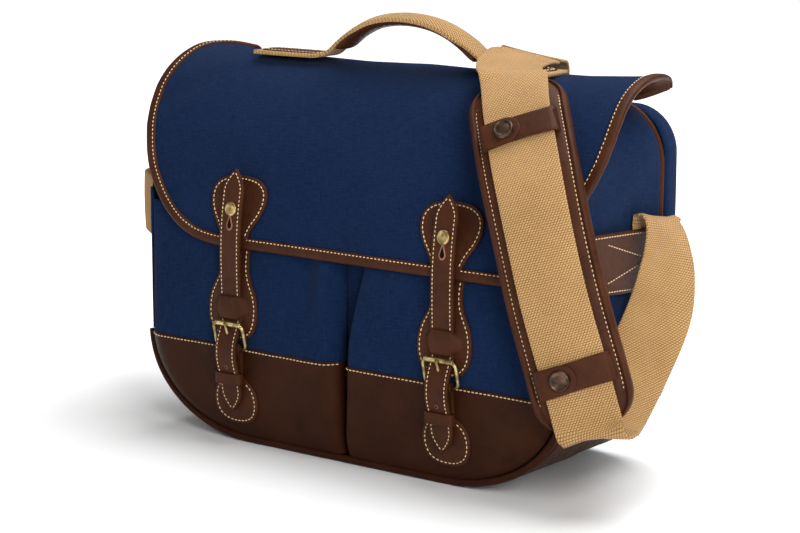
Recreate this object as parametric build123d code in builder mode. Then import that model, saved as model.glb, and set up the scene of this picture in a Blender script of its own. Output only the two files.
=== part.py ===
from build123d import *
import os

os.makedirs("parts", exist_ok=True)

# A canvas and leather messenger bag. X runs along the bag, -Y is the front, Z is up, and the
# origin is the middle of the flat bottom. Millimetres throughout.

SIDES = {"left": -1, "right": 1}
DEEP = 400.0  # longer than the bag, for cutting through it
GAP = 0.2  # between sewn layers
CLEAR = 0.9  # between a straight piece and a curved face
BEVEL = 20.0  # taper of the metal caps

# Body
HALF_WIDTH = 206.0  # to the side walls
CORNER_RUN = 108.0  # the boat-shaped bottom corners are quarter ellipses
CORNER_RISE = 82.0
LEATHER_TOP = 81.0
BODY_TOP = 286.0
SHOULDER = 64.0  # rounding of the top corners
GUSSET_REACH = 138.0  # how near the middle the rounded shoulders come
BODY_FRONT = -74.0
BODY_BACK = 48.8
WALL = 3.0
PANEL_FRONT = -70.0
LINING_WALL = 4.0
LINING_TOP = 199.0
BACK_PANEL_TOP = 282.0

# Piping
PIPING_RADIUS = 2.8
PIPING_Y = -77.0
PIPING_TOP = 200.0
BACK_PIPING_RADIUS = 2.3
BACK_PIPING_Y = 51.4

# Rear pocket and its zip
REAR_FRONT = 54.0
REAR_BACK = 77.0
REAR_TOP = 282.0
REAR_INSET = 2.0
REAR_WALL = 2.5
ZIP_Z = 250.0
ZIP_SLOT = 10.0
ZIP_HALF = 150.0
ZIP_THICK = 2.0
SLIDER_X = -138.0
SLIDER_LENGTH = 11.0
SLIDER_DEPTH = 5.0
SLIDER_HEIGHT = 8.0
SLIDER_GAP = 4.4
SLIDER_MOUTH = 3.84
SLIDER_ROUND = 1.5
PULLER_LENGTH = 26.0
PULLER_WIDTH = 3.8
PIN_RADIUS = 0.8
PIN_FIT = 0.05

# Front pockets: outer face seen from the side, as (Y, Z) from the bottom up
POCKET_PROFILE = [
    (-80.5, 7),
    (-84, 18),
    (-87, 38),
    (-88, 70),
    (-87.3, 110),
    (-84, 143),
    (-79.3, 170),
    (-76.8, 190),
]
POCKET_INSET = 6.2
POCKET_WALL = 2.0
POCKET_MIDDLE = 1.5  # half the gap between the two pockets

# Flap: outer face seen from the side, as (Y, Z) from the back seam to the front edge
FLAP_PROFILE = [
    (50, 292),
    (45, 300),
    (25, 305),
    (0, 306),
    (-22, 298),
    (-42, 280),
    (-60, 253),
    (-71, 228),
    (-79, 202),
    (-84.5, 182),
    (-87, 166),
]
FLAP_HALF = 212.0
FLAP_THICK = 2.5
FLAP_EDGE = 166.0
FLAP_CORNER = (199.0, 223.0)  # where the rounded front corner meets the side edge
FLAP_BEND = (186.0, 189.0)  # a point on the rounded front corner
FLAP_SLANT = 0.7  # how much of an inset goes each way there
FLAP_STRAIGHT = 148.0  # half the straight part of the front edge
BINDING_WIDTH = 7.0
BINDING_SKIN = 0.8
BINDING_BITE = 3.0
UNDER_FLAP = 4.8  # from the flap's face to the walls under it

# The two closures, each a strap, stud, guide, buckle and chape
CLOSURE_X = {"left": -104.0, "right": 104.0}
STRAP_WIDTH = 20.0
STRAP_THICK = 3.0
STRAP_POINT = 9.0
STRAP_TIP = [(-91.5, 114.4), (-91.9, 150), (-91.9, 168), (-89, 185), (-86.5, 200), (-82, 222)]
STRAP_TAIL = [
    (-91.5, 112.4),
    (-91.5, 102),
    (-92.3, 97),
    (-94, 90),
    (-96, 82),
    (-98, 75),
    (-97.4, 68),
    (-94.6, 60),
    (-93.6, 52),
    (-92.6, 41),
]
STUD_Z = 192.0
STUD_NECK = 2.0
STUD_HEAD = 4.5
STUD_HEIGHT = 4.0
STUD_SLOT = 10.4
PATCH_THICK = 2.4
PATCH_BULB = (52.0, 46.0)
PATCH_NECK = 26.0
PLATE_NEAR = 0.15
PLATE_FAR = 1.95
GUIDE_Z = 112.0
GUIDE_BULB = (50.0, 40.0)
GUIDE_TOP = 172.0
BRIDGE_Z = 106.5
BRIDGE_WIDTH = 30.0
BRIDGE_THICK = 2.0
BRIDGE_HEIGHT = 7.0
BAR_Y = -91.4
BAR_Z = 80.0
BAR_RADIUS = 1.5
BAR_FIT = 0.05
FRAME_HALF = 15.0
FRAME_TOP_Y = -96.2
FRAME_TOP_Z = 100.5
FRAME_CORNER = 5.0
PRONG_RADIUS = 1.2
PRONG_LIFT = 0.9
PRONG_EYE = 2.75
PRONG_EYE_HALF = 1.8
PRONG_SLOT = 4.8
PRONG_SLOT_BELOW = 3.5
PRONG_SLOT_ABOVE = 15.0
KNUCKLE_RADIUS = 2.6
KNUCKLE_GAP = 4.2
KNUCKLE_HALF = 9.0
KNUCKLE_OPEN = 13.0
CHAPE_ROUND = (42.0, 42.0)
CHAPE_ROUND_Z = 36.0
KEEPER_Z = 56.0
KEEPER_WIDTH = 27.0
KEEPER_DEPTH = 9.2
KEEPER_HEIGHT = 9.0
KEEPER_PLAY = 0.9

# Carry handle
TAIL_INNER = 73.0
TAIL_OUTER = 146.0
TAIL_WIDTH = 26.0
TAIL_Z = 306.4
TAIL_THICK = 2.2
HANDLE_Y = -1.0
HANDLE_HINGE_Z = 311.0
ARCH_HALF = 62.0
ARCH_TOP = 343.0
ARCH_WIDTH = 28.0
WAIST = 3.0
WAIST_RISE = 12.0
WEB_THICK = 3.0
GRIP_THICK = 4.5
GRIP_HALF = 46.0

# Shoulder strap. Each station is a centre and the direction of the width.
WEB_WIDTH = 50.0
STRAP_WEB = 2.4
PAD_WIDTH = 76.0
PAD_THICK = 8.0
PAD_LINE = [
    ((129, -36, 304), (0.97, 0.22, -0.03)),
    ((149, -60, 283), (0.98, 0.2, 0)),
    ((181, -90, 236), (0.96, 0.28, 0)),
    ((205, -96, 164), (0.94, 0.34, 0)),
    ((224, -94, 105), (0.91, 0.41, 0)),
    ((233, -91, 72), (0.9, 0.44, 0)),
]
OVER_TOP = [
    ((102, 26, 318), (0.9, 0.36, -0.2)),
    ((105, 6, 319), (0.9, 0.38, -0.18)),
    ((110, -14, 316), (0.93, 0.37, -0.12)),
    ((118, -27, 312), (0.95, 0.32, -0.1)),
]
OVER_REAR = [
    ((100.6, 31, 317.5), (0.9, 0.36, -0.2)),
    ((96, 43, 315), (0.9, 0.36, -0.2)),
    ((86, 60, 305), (0.93, 0.33, -0.15)),
    ((75, 75, 292), (0.97, 0.2, -0.1)),
    ((67, 84, 281), (1, 0, -0.1)),
]
BACK_RUN = [
    ((66, 84.5, 277), (1, 0, -0.1)),
    ((59, 85, 238), (1, 0, -0.2)),
    ((38, 86, 196), (0.85, 0, -0.5)),
    ((-2, 87, 160), (0.5, 0, -0.85)),
    ((-54, 88, 142), (0.15, 0, -1)),
    ((-114, 89, 141), (-0.1, 0, -1)),
    ((-175, 92, 158), (-0.25, 0, -1)),
    ((-226, 86, 174), (-0.1, 0, -1)),
    ((-256, 52, 178), (0, 0, -1)),
    ((-262, 12, 179), (0, 0, -1)),
    ((-255, -14, 180), (0, 0, -1)),
    ((-243, -34, 180), (0, 0, -1)),
    ((-228, -47, 178), (0, 0, -1)),
    ((-214, -51, 175), (0, 0, -1)),
    ((-207.4, -44, 172), (0, 0, -1)),
    ((-207.4, 36, 171.5), (0, 0, -1)),
]
RIGHT_LOOP = [
    ((207.4, 31, 152), (0, 1, 0)),
    ((207.4, 31, 198), (0, 1, 0)),
    ((213, 30.5, 209), (0, 1, 0)),
    ((223, 28, 203), (0.05, 1, -0.1)),
    ((231, 21, 172), (0.42, 0.9, -0.25)),
    ((233, 4, 136), (0.7, 0.68, -0.3)),
    ((231.5, -26, 100), (0.78, 0.55, -0.3)),
    ((233, -56, 76), (0.82, 0.5, -0.2)),
    ((235.5, -72, 66), (0.88, 0.46, 0)),
    ((237.5, -84, 62.5), (0.9, 0.42, 0.12)),
    ((238.5, -92.5, 64.5), (0.9, 0.42, 0.1)),
    ((236.6, -97.2, 69), (0.9, 0.44, 0.03)),
]
TAB_FRONT = -40.0
TAB_BACK = 47.0
TAB_Z = 171.5
TAB_HEIGHT = 49.0
TAB_THICK = 2.2

# Pad keepers: where along the pad they sit, as a distance from its top
KEEPER_AT = {"upper": 55.0, "lower": 238.0}
PAD_KEEPER_WIDTH = 22.0
PAD_KEEPER_THICK = 2.0
PAD_KEEPER_HALF = 29.0
SNAP_AT = -10.5
SNAP_RADIUS = 7.5
SNAP_HEIGHT = 3.0
ANCHOR_WIDTH = 2.4
ANCHOR_LENGTH = 18.0


def keep(piece, name):
    """Names a finished sub-part and writes its STEP file."""
    piece.label = name
    export_step(piece, f"parts/{name}.step")


def facing(y):
    """The plane seen from the front at depth y. It extrudes towards the front."""
    return Plane.XZ.offset(-y)


def shifted(line, amount):
    """The points of a side-view line moved square to it. Positive is to its left."""
    moved = []
    for i, (y, z) in enumerate(line):
        before = line[max(i - 1, 0)]
        after = line[min(i + 1, len(line) - 1)]
        along = Vector(after[0] - before[0], after[1] - before[1]).normalized()
        moved.append((y - along.Y * amount, z + along.X * amount))
    return moved


def height_on(line, z):
    """The depth of a side-view line at a height."""
    for (y0, z0), (y1, z1) in zip(line, line[1:]):
        if min(z0, z1) <= z <= max(z0, z1):
            return y0 + (y1 - y0) * (z - z0) / (z1 - z0)
    return line[-1][0]


def strip(line, near, far):
    """A side-view strip between two distances from a line."""
    inner = shifted(line, near)
    outer = shifted(line, far)
    with BuildSketch() as band:
        with BuildLine():
            Spline(*inner)
            Line(inner[-1], outer[-1])
            Spline(*reversed(outer))
            Line(outer[0], inner[0])
        make_face()
    return band.sketch


def window(left, right, bottom, top):
    """A plain rectangle between four sides."""
    with BuildSketch() as view:
        with Locations(((left + right) / 2, (bottom + top) / 2)):
            Rectangle(right - left, top - bottom)
    return view.sketch


def outline(inset, top, shoulders=False):
    """The front view of the body, square or round at the top."""
    half = HALF_WIDTH - inset
    foot = HALF_WIDTH - CORNER_RUN
    with BuildSketch() as view:
        with Locations((0, (CORNER_RISE + top) / 2)):
            Rectangle(2 * half, top - CORNER_RISE)
        with Locations((0, (CORNER_RISE + inset) / 2)):
            Rectangle(2 * foot, CORNER_RISE - inset)
        with Locations((-foot, CORNER_RISE), (foot, CORNER_RISE)):
            Ellipse(CORNER_RUN - inset, CORNER_RISE - inset)
        if shoulders:
            RectangleRounded(2 * half, 2 * top, SHOULDER - inset, mode=Mode.INTERSECT)
    return view.sketch


def plate(y, thick, front_view):
    """A flat panel whose rear face is at depth y."""
    with BuildPart() as panel:
        with BuildSketch(facing(y)):
            add(front_view)
        extrude(amount=thick)
    return panel.part


def layer(side_view, front_view):
    """Whatever lies inside both a side view and a front view."""
    with BuildPart() as both:
        with BuildSketch(Plane.YZ):
            add(side_view)
        extrude(amount=DEEP, both=True)
        with BuildSketch(facing(0)):
            add(front_view)
        extrude(amount=DEEP, both=True, mode=Mode.INTERSECT)
    return both.part


def directions(stations):
    """How the strap runs at each of its stations."""
    points = [Vector(*centre) for centre, _ in stations]
    last = len(points) - 1
    return [
        (points[min(i + 1, last)] - points[max(i - 1, 0)]).normalized()
        for i in range(last + 1)
    ]


def ribbon(stations, wide, thick):
    """A strap that runs through its stations."""
    with BuildPart() as strap:
        for (centre, width), along in zip(stations, directions(stations)):
            with BuildSketch(Plane(origin=centre, x_dir=width, z_dir=along)):
                Rectangle(wide, thick)
        loft(ruled=True)
    return strap.part


def lifted(stations, amount):
    """The stations of a strap that lies on another one."""
    moved = []
    for (centre, width), along in zip(stations, directions(stations)):
        out = along.cross(Vector(*width)).normalized()
        moved.append((tuple(Vector(*centre) + out * amount), width))
    return moved


# ---------------------------------------------------------------- body


def under_flap(depth):
    """The side view of everything deeper than depth below the flap's face."""
    roof = shifted(FLAP_PROFILE, depth)
    with BuildSketch() as view:
        with BuildLine():
            Spline(*roof)
            Polyline(
                roof[-1],
                (BODY_FRONT, roof[-1][1]),
                (BODY_FRONT, -WALL),
                (BODY_BACK, -WALL),
                (BODY_BACK, roof[0][1]),
                roof[0],
            )
        make_face()
    return view.sketch


def wall_ring(front_view):
    """The side walls and floor of the body within a front view, low enough for the flap."""
    with BuildPart() as ring:
        with BuildSketch(facing(BODY_BACK)):
            add(outline(0, BODY_TOP, True))
            add(outline(WALL, BODY_TOP - WALL, True), mode=Mode.SUBTRACT)
            add(front_view, mode=Mode.INTERSECT)
        extrude(amount=BODY_BACK - BODY_FRONT)
        with BuildSketch(Plane.YZ):
            add(under_flap(UNDER_FLAP))
        extrude(amount=DEEP, both=True, mode=Mode.INTERSECT)
    return ring.part


keep(wall_ring(window(-DEEP, DEEP, -WALL, LEATHER_TOP)), "base_leather")
for side, sign in SIDES.items():
    reach = sorted((sign * GUSSET_REACH, sign * DEEP))
    keep(wall_ring(window(*reach, LEATHER_TOP + GAP, DEEP)), f"side_gusset_{side}")

front_view = outline(WALL + GAP, PIPING_TOP)
keep(plate(PANEL_FRONT + WALL, WALL, front_view), "front_panel")
rear_view = outline(WALL + GAP, BACK_PANEL_TOP, True)
keep(plate(BODY_BACK, WALL, rear_view), "back_panel")

LINING_FRONT = PANEL_FRONT + WALL + GAP
LINING_BACK = BODY_BACK - WALL - GAP
with BuildPart() as lining:
    with BuildSketch(facing(LINING_BACK)):
        add(outline(WALL + GAP, LINING_TOP))
    extrude(amount=LINING_BACK - LINING_FRONT)
    with BuildSketch(facing(LINING_BACK - LINING_WALL)):
        add(outline(WALL + GAP + LINING_WALL, DEEP))
    extrude(amount=LINING_BACK - LINING_FRONT - 2 * LINING_WALL, mode=Mode.SUBTRACT)
keep(lining.part, "padded_lining")

# ---------------------------------------------------------------- piping


def piping(y, radius, top, shoulders):
    """A leather roll that follows the body's outline."""
    half = HALF_WIDTH - radius
    foot = HALF_WIDTH - CORNER_RUN
    run = CORNER_RUN - radius
    rise = CORNER_RISE - radius
    bend = SHOULDER - radius
    side_top = top - bend if shoulders else top
    with BuildPart() as roll:
        with BuildLine(facing(y)) as path:
            if shoulders:
                CenterArc((-half + bend, side_top), bend, 90, 90)
            Line((-half, side_top), (-half, CORNER_RISE))
            EllipticalCenterArc((-foot, CORNER_RISE), run, rise, start_angle=180, arc_size=90)
            Line((-foot, radius), (foot, radius))
            EllipticalCenterArc((foot, CORNER_RISE), run, rise, start_angle=270, arc_size=90)
            Line((half, CORNER_RISE), (half, side_top))
            if shoulders:
                CenterArc((half - bend, side_top), bend, 0, 90)
        route = path.wire()
        with BuildSketch(Plane(origin=route @ 0, z_dir=route % 0)):
            Circle(radius)
        sweep(path=route)
    return roll.part


keep(piping(PIPING_Y, PIPING_RADIUS, PIPING_TOP, False), "front_piping")
keep(piping(BACK_PIPING_Y, BACK_PIPING_RADIUS, BODY_TOP, True), "back_piping")

# ---------------------------------------------------------------- front pockets


def under_pocket(depth):
    """The side view of a pocket's outside at depth 0, or of its hollow."""
    face = shifted(POCKET_PROFILE, -depth)
    back = PANEL_FRONT - GAP
    if depth:
        face.append((face[-1][0], face[-1][1] + depth))
    top = face[-1][1]
    with BuildSketch() as view:
        with BuildLine():
            Spline(*face)
            Polyline(face[-1], (back, top), (back, face[0][1]), face[0])
        make_face()
    return view.sketch


for side, sign in SIDES.items():
    ends = sorted((sign * POCKET_MIDDLE, sign * DEEP))
    inner_ends = sorted((sign * (POCKET_MIDDLE + POCKET_WALL), sign * DEEP))
    with BuildSketch() as pocket_view:
        add(outline(POCKET_INSET, BODY_TOP))
        add(window(*ends, 0, BODY_TOP), mode=Mode.INTERSECT)
    with BuildSketch() as hollow_view:
        add(outline(POCKET_INSET + POCKET_WALL, BODY_TOP))
        add(window(*inner_ends, 0, BODY_TOP), mode=Mode.INTERSECT)
    with BuildPart() as pocket:
        add(layer(under_pocket(0), pocket_view.sketch))
        add(layer(under_pocket(POCKET_WALL), hollow_view.sketch), mode=Mode.SUBTRACT)
    for name, low, high in (
        ("leather", -DEEP, LEATHER_TOP),
        ("canvas", LEATHER_TOP + GAP, DEEP),
    ):
        with BuildPart() as shell:
            add(pocket.part)
            with BuildSketch(facing(0)):
                add(window(-DEEP, DEEP, low, high))
            extrude(amount=DEEP, both=True, mode=Mode.INTERSECT)
        keep(shell.part, f"pocket_{name}_{side}")

# ---------------------------------------------------------------- rear pocket and zip

ZIP_LOW = ZIP_Z - ZIP_SLOT / 2
ZIP_HIGH = ZIP_Z + ZIP_SLOT / 2
with BuildPart() as back_pocket:
    with BuildSketch(facing(REAR_BACK)):
        add(outline(REAR_INSET, REAR_TOP, True))
    extrude(amount=REAR_BACK - REAR_FRONT)
    with BuildSketch(facing(REAR_BACK - REAR_WALL)):
        add(outline(REAR_INSET + REAR_WALL, REAR_TOP - REAR_WALL, True))
    extrude(amount=REAR_BACK - REAR_FRONT - 2 * REAR_WALL, mode=Mode.SUBTRACT)
    with BuildSketch(facing(REAR_BACK)):
        add(window(-ZIP_HALF, ZIP_HALF, ZIP_LOW, ZIP_HIGH))
    extrude(amount=REAR_WALL, mode=Mode.SUBTRACT)
keep(back_pocket.part, "back_pocket")

chain_view = window(GAP - ZIP_HALF, ZIP_HALF - GAP, ZIP_LOW + GAP, ZIP_HIGH - GAP)
keep(plate(REAR_BACK, ZIP_THICK, chain_view), "zip_chain")

SLIDER_Y = REAR_BACK + PIN_FIT + SLIDER_DEPTH / 2
PIN_Y = REAR_BACK + PIN_FIT + SLIDER_DEPTH - 2 * PIN_RADIUS
PIN_Z = ZIP_Z + SLIDER_HEIGHT / 2 - 2 * PIN_RADIUS
with BuildPart() as slider:
    with Locations((SLIDER_X, SLIDER_Y, ZIP_Z)):
        Box(SLIDER_LENGTH, SLIDER_DEPTH, SLIDER_HEIGHT)
    fillet(slider.edges().filter_by(Axis.Y), SLIDER_ROUND)
    with Locations((SLIDER_X, PIN_Y, ZIP_Z)):
        Box(SLIDER_GAP, SLIDER_MOUTH, 2 * SLIDER_HEIGHT, mode=Mode.SUBTRACT)
    with BuildSketch(Plane.YZ.offset(SLIDER_X)):
        with Locations((PIN_Y, PIN_Z)):
            Circle(PIN_RADIUS)
    extrude(amount=SLIDER_GAP / 2 + 1, both=True)
keep(slider.part, "zip_slider")

with BuildPart() as puller:
    with BuildSketch(Plane.YZ.offset(SLIDER_X)):
        with Locations((PIN_Y, PIN_Z)):
            Circle(2 * PIN_RADIUS)
        with Locations((PIN_Y + PIN_RADIUS, PIN_Z - PULLER_LENGTH / 2)):
            Rectangle(PIN_RADIUS, PULLER_LENGTH)
        with Locations((PIN_Y, PIN_Z)):
            Circle(PIN_RADIUS + PIN_FIT, mode=Mode.SUBTRACT)
    extrude(amount=PULLER_WIDTH / 2, both=True)
keep(puller.part, "zip_puller")

# ---------------------------------------------------------------- flap


def flap_front(inset):
    """The front view of the flap with its rounded front corners."""
    half = FLAP_HALF - inset
    edge = FLAP_EDGE + inset
    corner = (FLAP_CORNER[0] - inset, FLAP_CORNER[1])
    slant = inset * FLAP_SLANT
    bend = (FLAP_BEND[0] - slant, FLAP_BEND[1] + slant)
    with BuildSketch() as view:
        with BuildLine():
            Line((0, edge), (FLAP_STRAIGHT, edge))
            ThreePointArc((FLAP_STRAIGHT, edge), bend, corner)
            Polyline(corner, (half, BODY_TOP), (half, DEEP), (0, DEEP), (0, edge))
        make_face()
        mirror(about=Plane.YZ)
    return view.sketch


flap_panel = layer(strip(FLAP_PROFILE, 0, FLAP_THICK), flap_front(BINDING_WIDTH - BINDING_BITE))
keep(flap_panel, "flap_panel")

with BuildPart() as flap_binding:
    add(layer(strip(FLAP_PROFILE, -BINDING_SKIN, FLAP_THICK + BINDING_SKIN), flap_front(0)))
    with BuildSketch(facing(0)):
        add(flap_front(BINDING_WIDTH))
    extrude(amount=DEEP, both=True, mode=Mode.SUBTRACT)
    add(flap_panel, mode=Mode.SUBTRACT)
keep(flap_binding.part, "flap_binding")


def bulb_front(x, bulb_z, bulb, neck_end):
    """A keyhole-shaped leather patch: a bulb with a neck."""
    low, high = sorted((bulb_z, neck_end))
    with BuildSketch() as view:
        with Locations((x, bulb_z)):
            Ellipse(bulb[0] / 2, bulb[1] / 2)
        add(window(x - PATCH_NECK / 2, x + PATCH_NECK / 2, low, high))
    return view.sketch


for side, x in CLOSURE_X.items():
    with BuildPart() as patch:
        patch_view = bulb_front(x, STUD_Z, PATCH_BULB, FLAP_EDGE)
        add(layer(strip(FLAP_PROFILE, -PATCH_THICK, 0), patch_view))
        add(flap_binding.part, mode=Mode.SUBTRACT)
    keep(patch.part, f"flap_patch_{side}")

    stud_back = height_on(FLAP_PROFILE, STUD_Z) - PATCH_THICK - CLEAR
    head_back = height_on(STRAP_TIP, STUD_Z) - STRAP_THICK / 2 - 2 * GAP
    with BuildPart() as stud:
        with BuildSketch(facing(stud_back)):
            with Locations((x, STUD_Z)):
                Circle(STUD_NECK)
        extrude(amount=stud_back - head_back)
        with BuildSketch(facing(head_back)):
            with Locations((x, STUD_Z)):
                Circle(STUD_HEAD)
        extrude(amount=STUD_HEIGHT, taper=BEVEL)
    keep(stud.part, f"closure_stud_{side}")

# ---------------------------------------------------------------- closures


def tongue(x, base, tip, slot_low, slot_high, slot_wide):
    """The front view of a strap with a pointed end and a slot."""
    half = STRAP_WIDTH / 2
    shoulder = tip - STRAP_POINT if tip > base else tip + STRAP_POINT
    with BuildSketch() as view:
        with BuildLine():
            Polyline((x - half, base), (x - half, shoulder), (x, tip))
            Polyline((x, tip), (x + half, shoulder), (x + half, base), (x - half, base))
        make_face()
        add(window(x - slot_wide / 2, x + slot_wide / 2, slot_low, slot_high), mode=Mode.SUBTRACT)
    return view.sketch


def side_on(x, half_width, y, z, radius):
    """A short round bar along X."""
    with BuildPart() as bar:
        with BuildSketch(Plane.YZ.offset(x)):
            with Locations((y, z)):
                Circle(radius)
        extrude(amount=half_width, both=True)
    return bar.part


HALF_STRAP = STRAP_THICK / 2
for side, x in CLOSURE_X.items():
    slot_low = STUD_Z - STUD_SLOT / 2
    tip_view = tongue(x, STRAP_TIP[0][1] - 1, STRAP_TIP[-1][1], slot_low, DEEP, STUD_SLOT)
    keep(layer(strip(STRAP_TIP, -HALF_STRAP, HALF_STRAP), tip_view), f"closure_tip_{side}")

    slot_low = BAR_Z - PRONG_SLOT_BELOW
    slot_high = BAR_Z + PRONG_SLOT_ABOVE
    tail_view = tongue(x, STRAP_TAIL[0][1] + 1, STRAP_TAIL[-1][1], slot_low, slot_high, PRONG_SLOT)
    keep(layer(strip(STRAP_TAIL, -HALF_STRAP, HALF_STRAP), tail_view), f"closure_strap_{side}")

    plate_y = height_on(POCKET_PROFILE, BRIDGE_Z) - PLATE_FAR
    bridge_y = height_on(STRAP_TAIL, BRIDGE_Z) - HALF_STRAP - GAP
    deep = plate_y + 1 - bridge_y + BRIDGE_THICK
    with BuildPart() as guide:
        guide_view = bulb_front(x, GUIDE_Z, GUIDE_BULB, GUIDE_TOP)
        add(layer(strip(POCKET_PROFILE, PLATE_NEAR, PLATE_FAR), guide_view))
        with Locations((x, plate_y + 1 - deep / 2, BRIDGE_Z)):
            Box(BRIDGE_WIDTH, deep, BRIDGE_HEIGHT)
        with Locations((x, (bridge_y + plate_y) / 2, BRIDGE_Z)):
            Box(STRAP_WIDTH + 1, plate_y - bridge_y, 2 * BRIDGE_HEIGHT, mode=Mode.SUBTRACT)
    keep(guide.part, f"strap_guide_{side}")

    pocket_y = height_on(POCKET_PROFILE, BAR_Z) - CLEAR
    with BuildPart() as chape:
        chape_view = bulb_front(x, CHAPE_ROUND_Z, CHAPE_ROUND, BAR_Z)
        add(layer(strip(POCKET_PROFILE, PLATE_NEAR, PLATE_FAR), chape_view))
        add(side_on(x, KNUCKLE_HALF, BAR_Y, BAR_Z, KNUCKLE_RADIUS))
        with Locations((x, (BAR_Y + pocket_y) / 2, BAR_Z - KNUCKLE_RADIUS)):
            Box(2 * KNUCKLE_HALF, pocket_y - BAR_Y, 2 * KNUCKLE_RADIUS)
        add(side_on(x, STRAP_WIDTH, BAR_Y, BAR_Z, BAR_RADIUS + BAR_FIT), mode=Mode.SUBTRACT)
        with Locations((x, BAR_Y, BAR_Z + 1)):
            Box(KNUCKLE_GAP, 4 * KNUCKLE_RADIUS, KNUCKLE_OPEN, mode=Mode.SUBTRACT)
    keep(chape.part, f"buckle_chape_{side}")

    keeper_y = height_on(POCKET_PROFILE, KEEPER_Z) - PLATE_FAR - CLEAR
    strap_y = height_on(STRAP_TAIL, KEEPER_Z)
    with BuildPart() as keeper:
        with Locations((x, keeper_y - KEEPER_DEPTH / 2, KEEPER_Z)):
            Box(KEEPER_WIDTH, KEEPER_DEPTH, KEEPER_HEIGHT)
        with Locations((x, strap_y, KEEPER_Z)):
            Box(STRAP_WIDTH + 2 * KEEPER_PLAY, STRAP_THICK + 2 * KEEPER_PLAY, DEEP, mode=Mode.SUBTRACT)
    keep(keeper.part, f"strap_keeper_{side}")

    tilt = Vector(0, FRAME_TOP_Y - BAR_Y, FRAME_TOP_Z - BAR_Z)
    frame_plane = Plane((x, BAR_Y, BAR_Z), x_dir=(1, 0, 0), z_dir=Vector(1, 0, 0).cross(tilt))
    rise = tilt.length
    with BuildPart() as frame:
        with BuildLine(frame_plane) as loop:
            FilletPolyline(
                (FRAME_HALF, rise),
                (FRAME_HALF, 0),
                (-FRAME_HALF, 0),
                (-FRAME_HALF, rise),
                radius=FRAME_CORNER,
                close=True,
            )
        ring = loop.wire()
        with BuildSketch(Plane(origin=ring @ 0, z_dir=ring % 0)):
            Circle(BAR_RADIUS)
        sweep(path=ring)
    keep(frame.part, f"buckle_frame_{side}")

    tip_y = FRAME_TOP_Y - BAR_RADIUS - PRONG_RADIUS - PRONG_LIFT
    reach = Vector(0, tip_y - BAR_Y, FRAME_TOP_Z + PRONG_RADIUS - BAR_Z)
    with BuildPart() as prong:
        add(side_on(x, PRONG_EYE_HALF, BAR_Y, BAR_Z, PRONG_EYE))
        with BuildSketch(Plane(Vector(x, BAR_Y, BAR_Z), z_dir=reach)):
            Circle(PRONG_RADIUS)
        extrude(amount=reach.length)
        add(side_on(x, STRAP_WIDTH, BAR_Y, BAR_Z, BAR_RADIUS + BAR_FIT), mode=Mode.SUBTRACT)
    keep(prong.part, f"buckle_prong_{side}")

# ---------------------------------------------------------------- carry handle

for side, sign in SIDES.items():
    with BuildPart() as tail:
        with Locations((sign * (TAIL_INNER + TAIL_OUTER) / 2, HANDLE_Y, TAIL_Z + TAIL_THICK / 2)):
            Box(TAIL_OUTER - TAIL_INNER, TAIL_WIDTH, TAIL_THICK)
    keep(tail.part, f"handle_tail_{side}")


def arch(low, high, half):
    """The front view of a layer of the handle between two distances from its inner face."""
    crown = ARCH_TOP - WEB_THICK - GRIP_THICK
    near = ARCH_HALF + low
    far = ARCH_HALF + high
    foot = HANDLE_HINGE_Z
    with BuildSketch() as band:
        with BuildLine():
            ThreePointArc((-near, foot), (0, crown + low), (near, foot))
            Line((near, foot), (far, foot))
            ThreePointArc((far, foot), (0, crown + high), (-far, foot))
            Line((-far, foot), (-near, foot))
        make_face()
        add(window(-half, half, 0, DEEP), mode=Mode.INTERSECT)
    return band.sketch


with BuildSketch() as waisted:
    with BuildLine():
        Polyline(
            (HANDLE_Y, HANDLE_HINGE_Z - WAIST),
            (HANDLE_Y + WAIST, HANDLE_HINGE_Z - 1),
            (HANDLE_Y + ARCH_WIDTH / 2, HANDLE_HINGE_Z + WAIST_RISE),
            (HANDLE_Y + ARCH_WIDTH / 2, DEEP),
            (HANDLE_Y - ARCH_WIDTH / 2, DEEP),
            (HANDLE_Y - ARCH_WIDTH / 2, HANDLE_HINGE_Z + WAIST_RISE),
            (HANDLE_Y - WAIST, HANDLE_HINGE_Z - 1),
            (HANDLE_Y, HANDLE_HINGE_Z - WAIST),
        )
    make_face()

outer_arch = arch(GRIP_THICK, GRIP_THICK + WEB_THICK, DEEP)
keep(layer(waisted.sketch, outer_arch), "handle_webbing")
inner_arch = arch(0, GRIP_THICK - GAP, GRIP_HALF)
keep(layer(waisted.sketch, inner_arch), "handle_grip")

# ---------------------------------------------------------------- shoulder strap

for side, sign in SIDES.items():
    middle = sign * (HALF_WIDTH + GAP + STRAP_WEB + GAP + TAB_THICK / 2)
    with BuildPart() as tab:
        with Locations((middle, (TAB_FRONT + TAB_BACK) / 2, TAB_Z)):
            Box(TAB_THICK, TAB_BACK - TAB_FRONT, TAB_HEIGHT)
    keep(tab.part, f"side_tab_{side}")

keep(ribbon(RIGHT_LOOP, WEB_WIDTH, STRAP_WEB), "webbing_loop_right")
keep(ribbon(OVER_REAR, WEB_WIDTH, STRAP_WEB), "webbing_over_rear")
keep(ribbon(BACK_RUN, WEB_WIDTH, STRAP_WEB), "webbing_back")
keep(ribbon(PAD_LINE, PAD_WIDTH, PAD_THICK), "shoulder_pad")
WEB_LIFT = PAD_THICK / 2 + CLEAR + STRAP_WEB / 2 + 3 * GAP
front_web = OVER_TOP + lifted(PAD_LINE, WEB_LIFT)
keep(ribbon(front_web, WEB_WIDTH, STRAP_WEB), "webbing_front")


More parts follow.
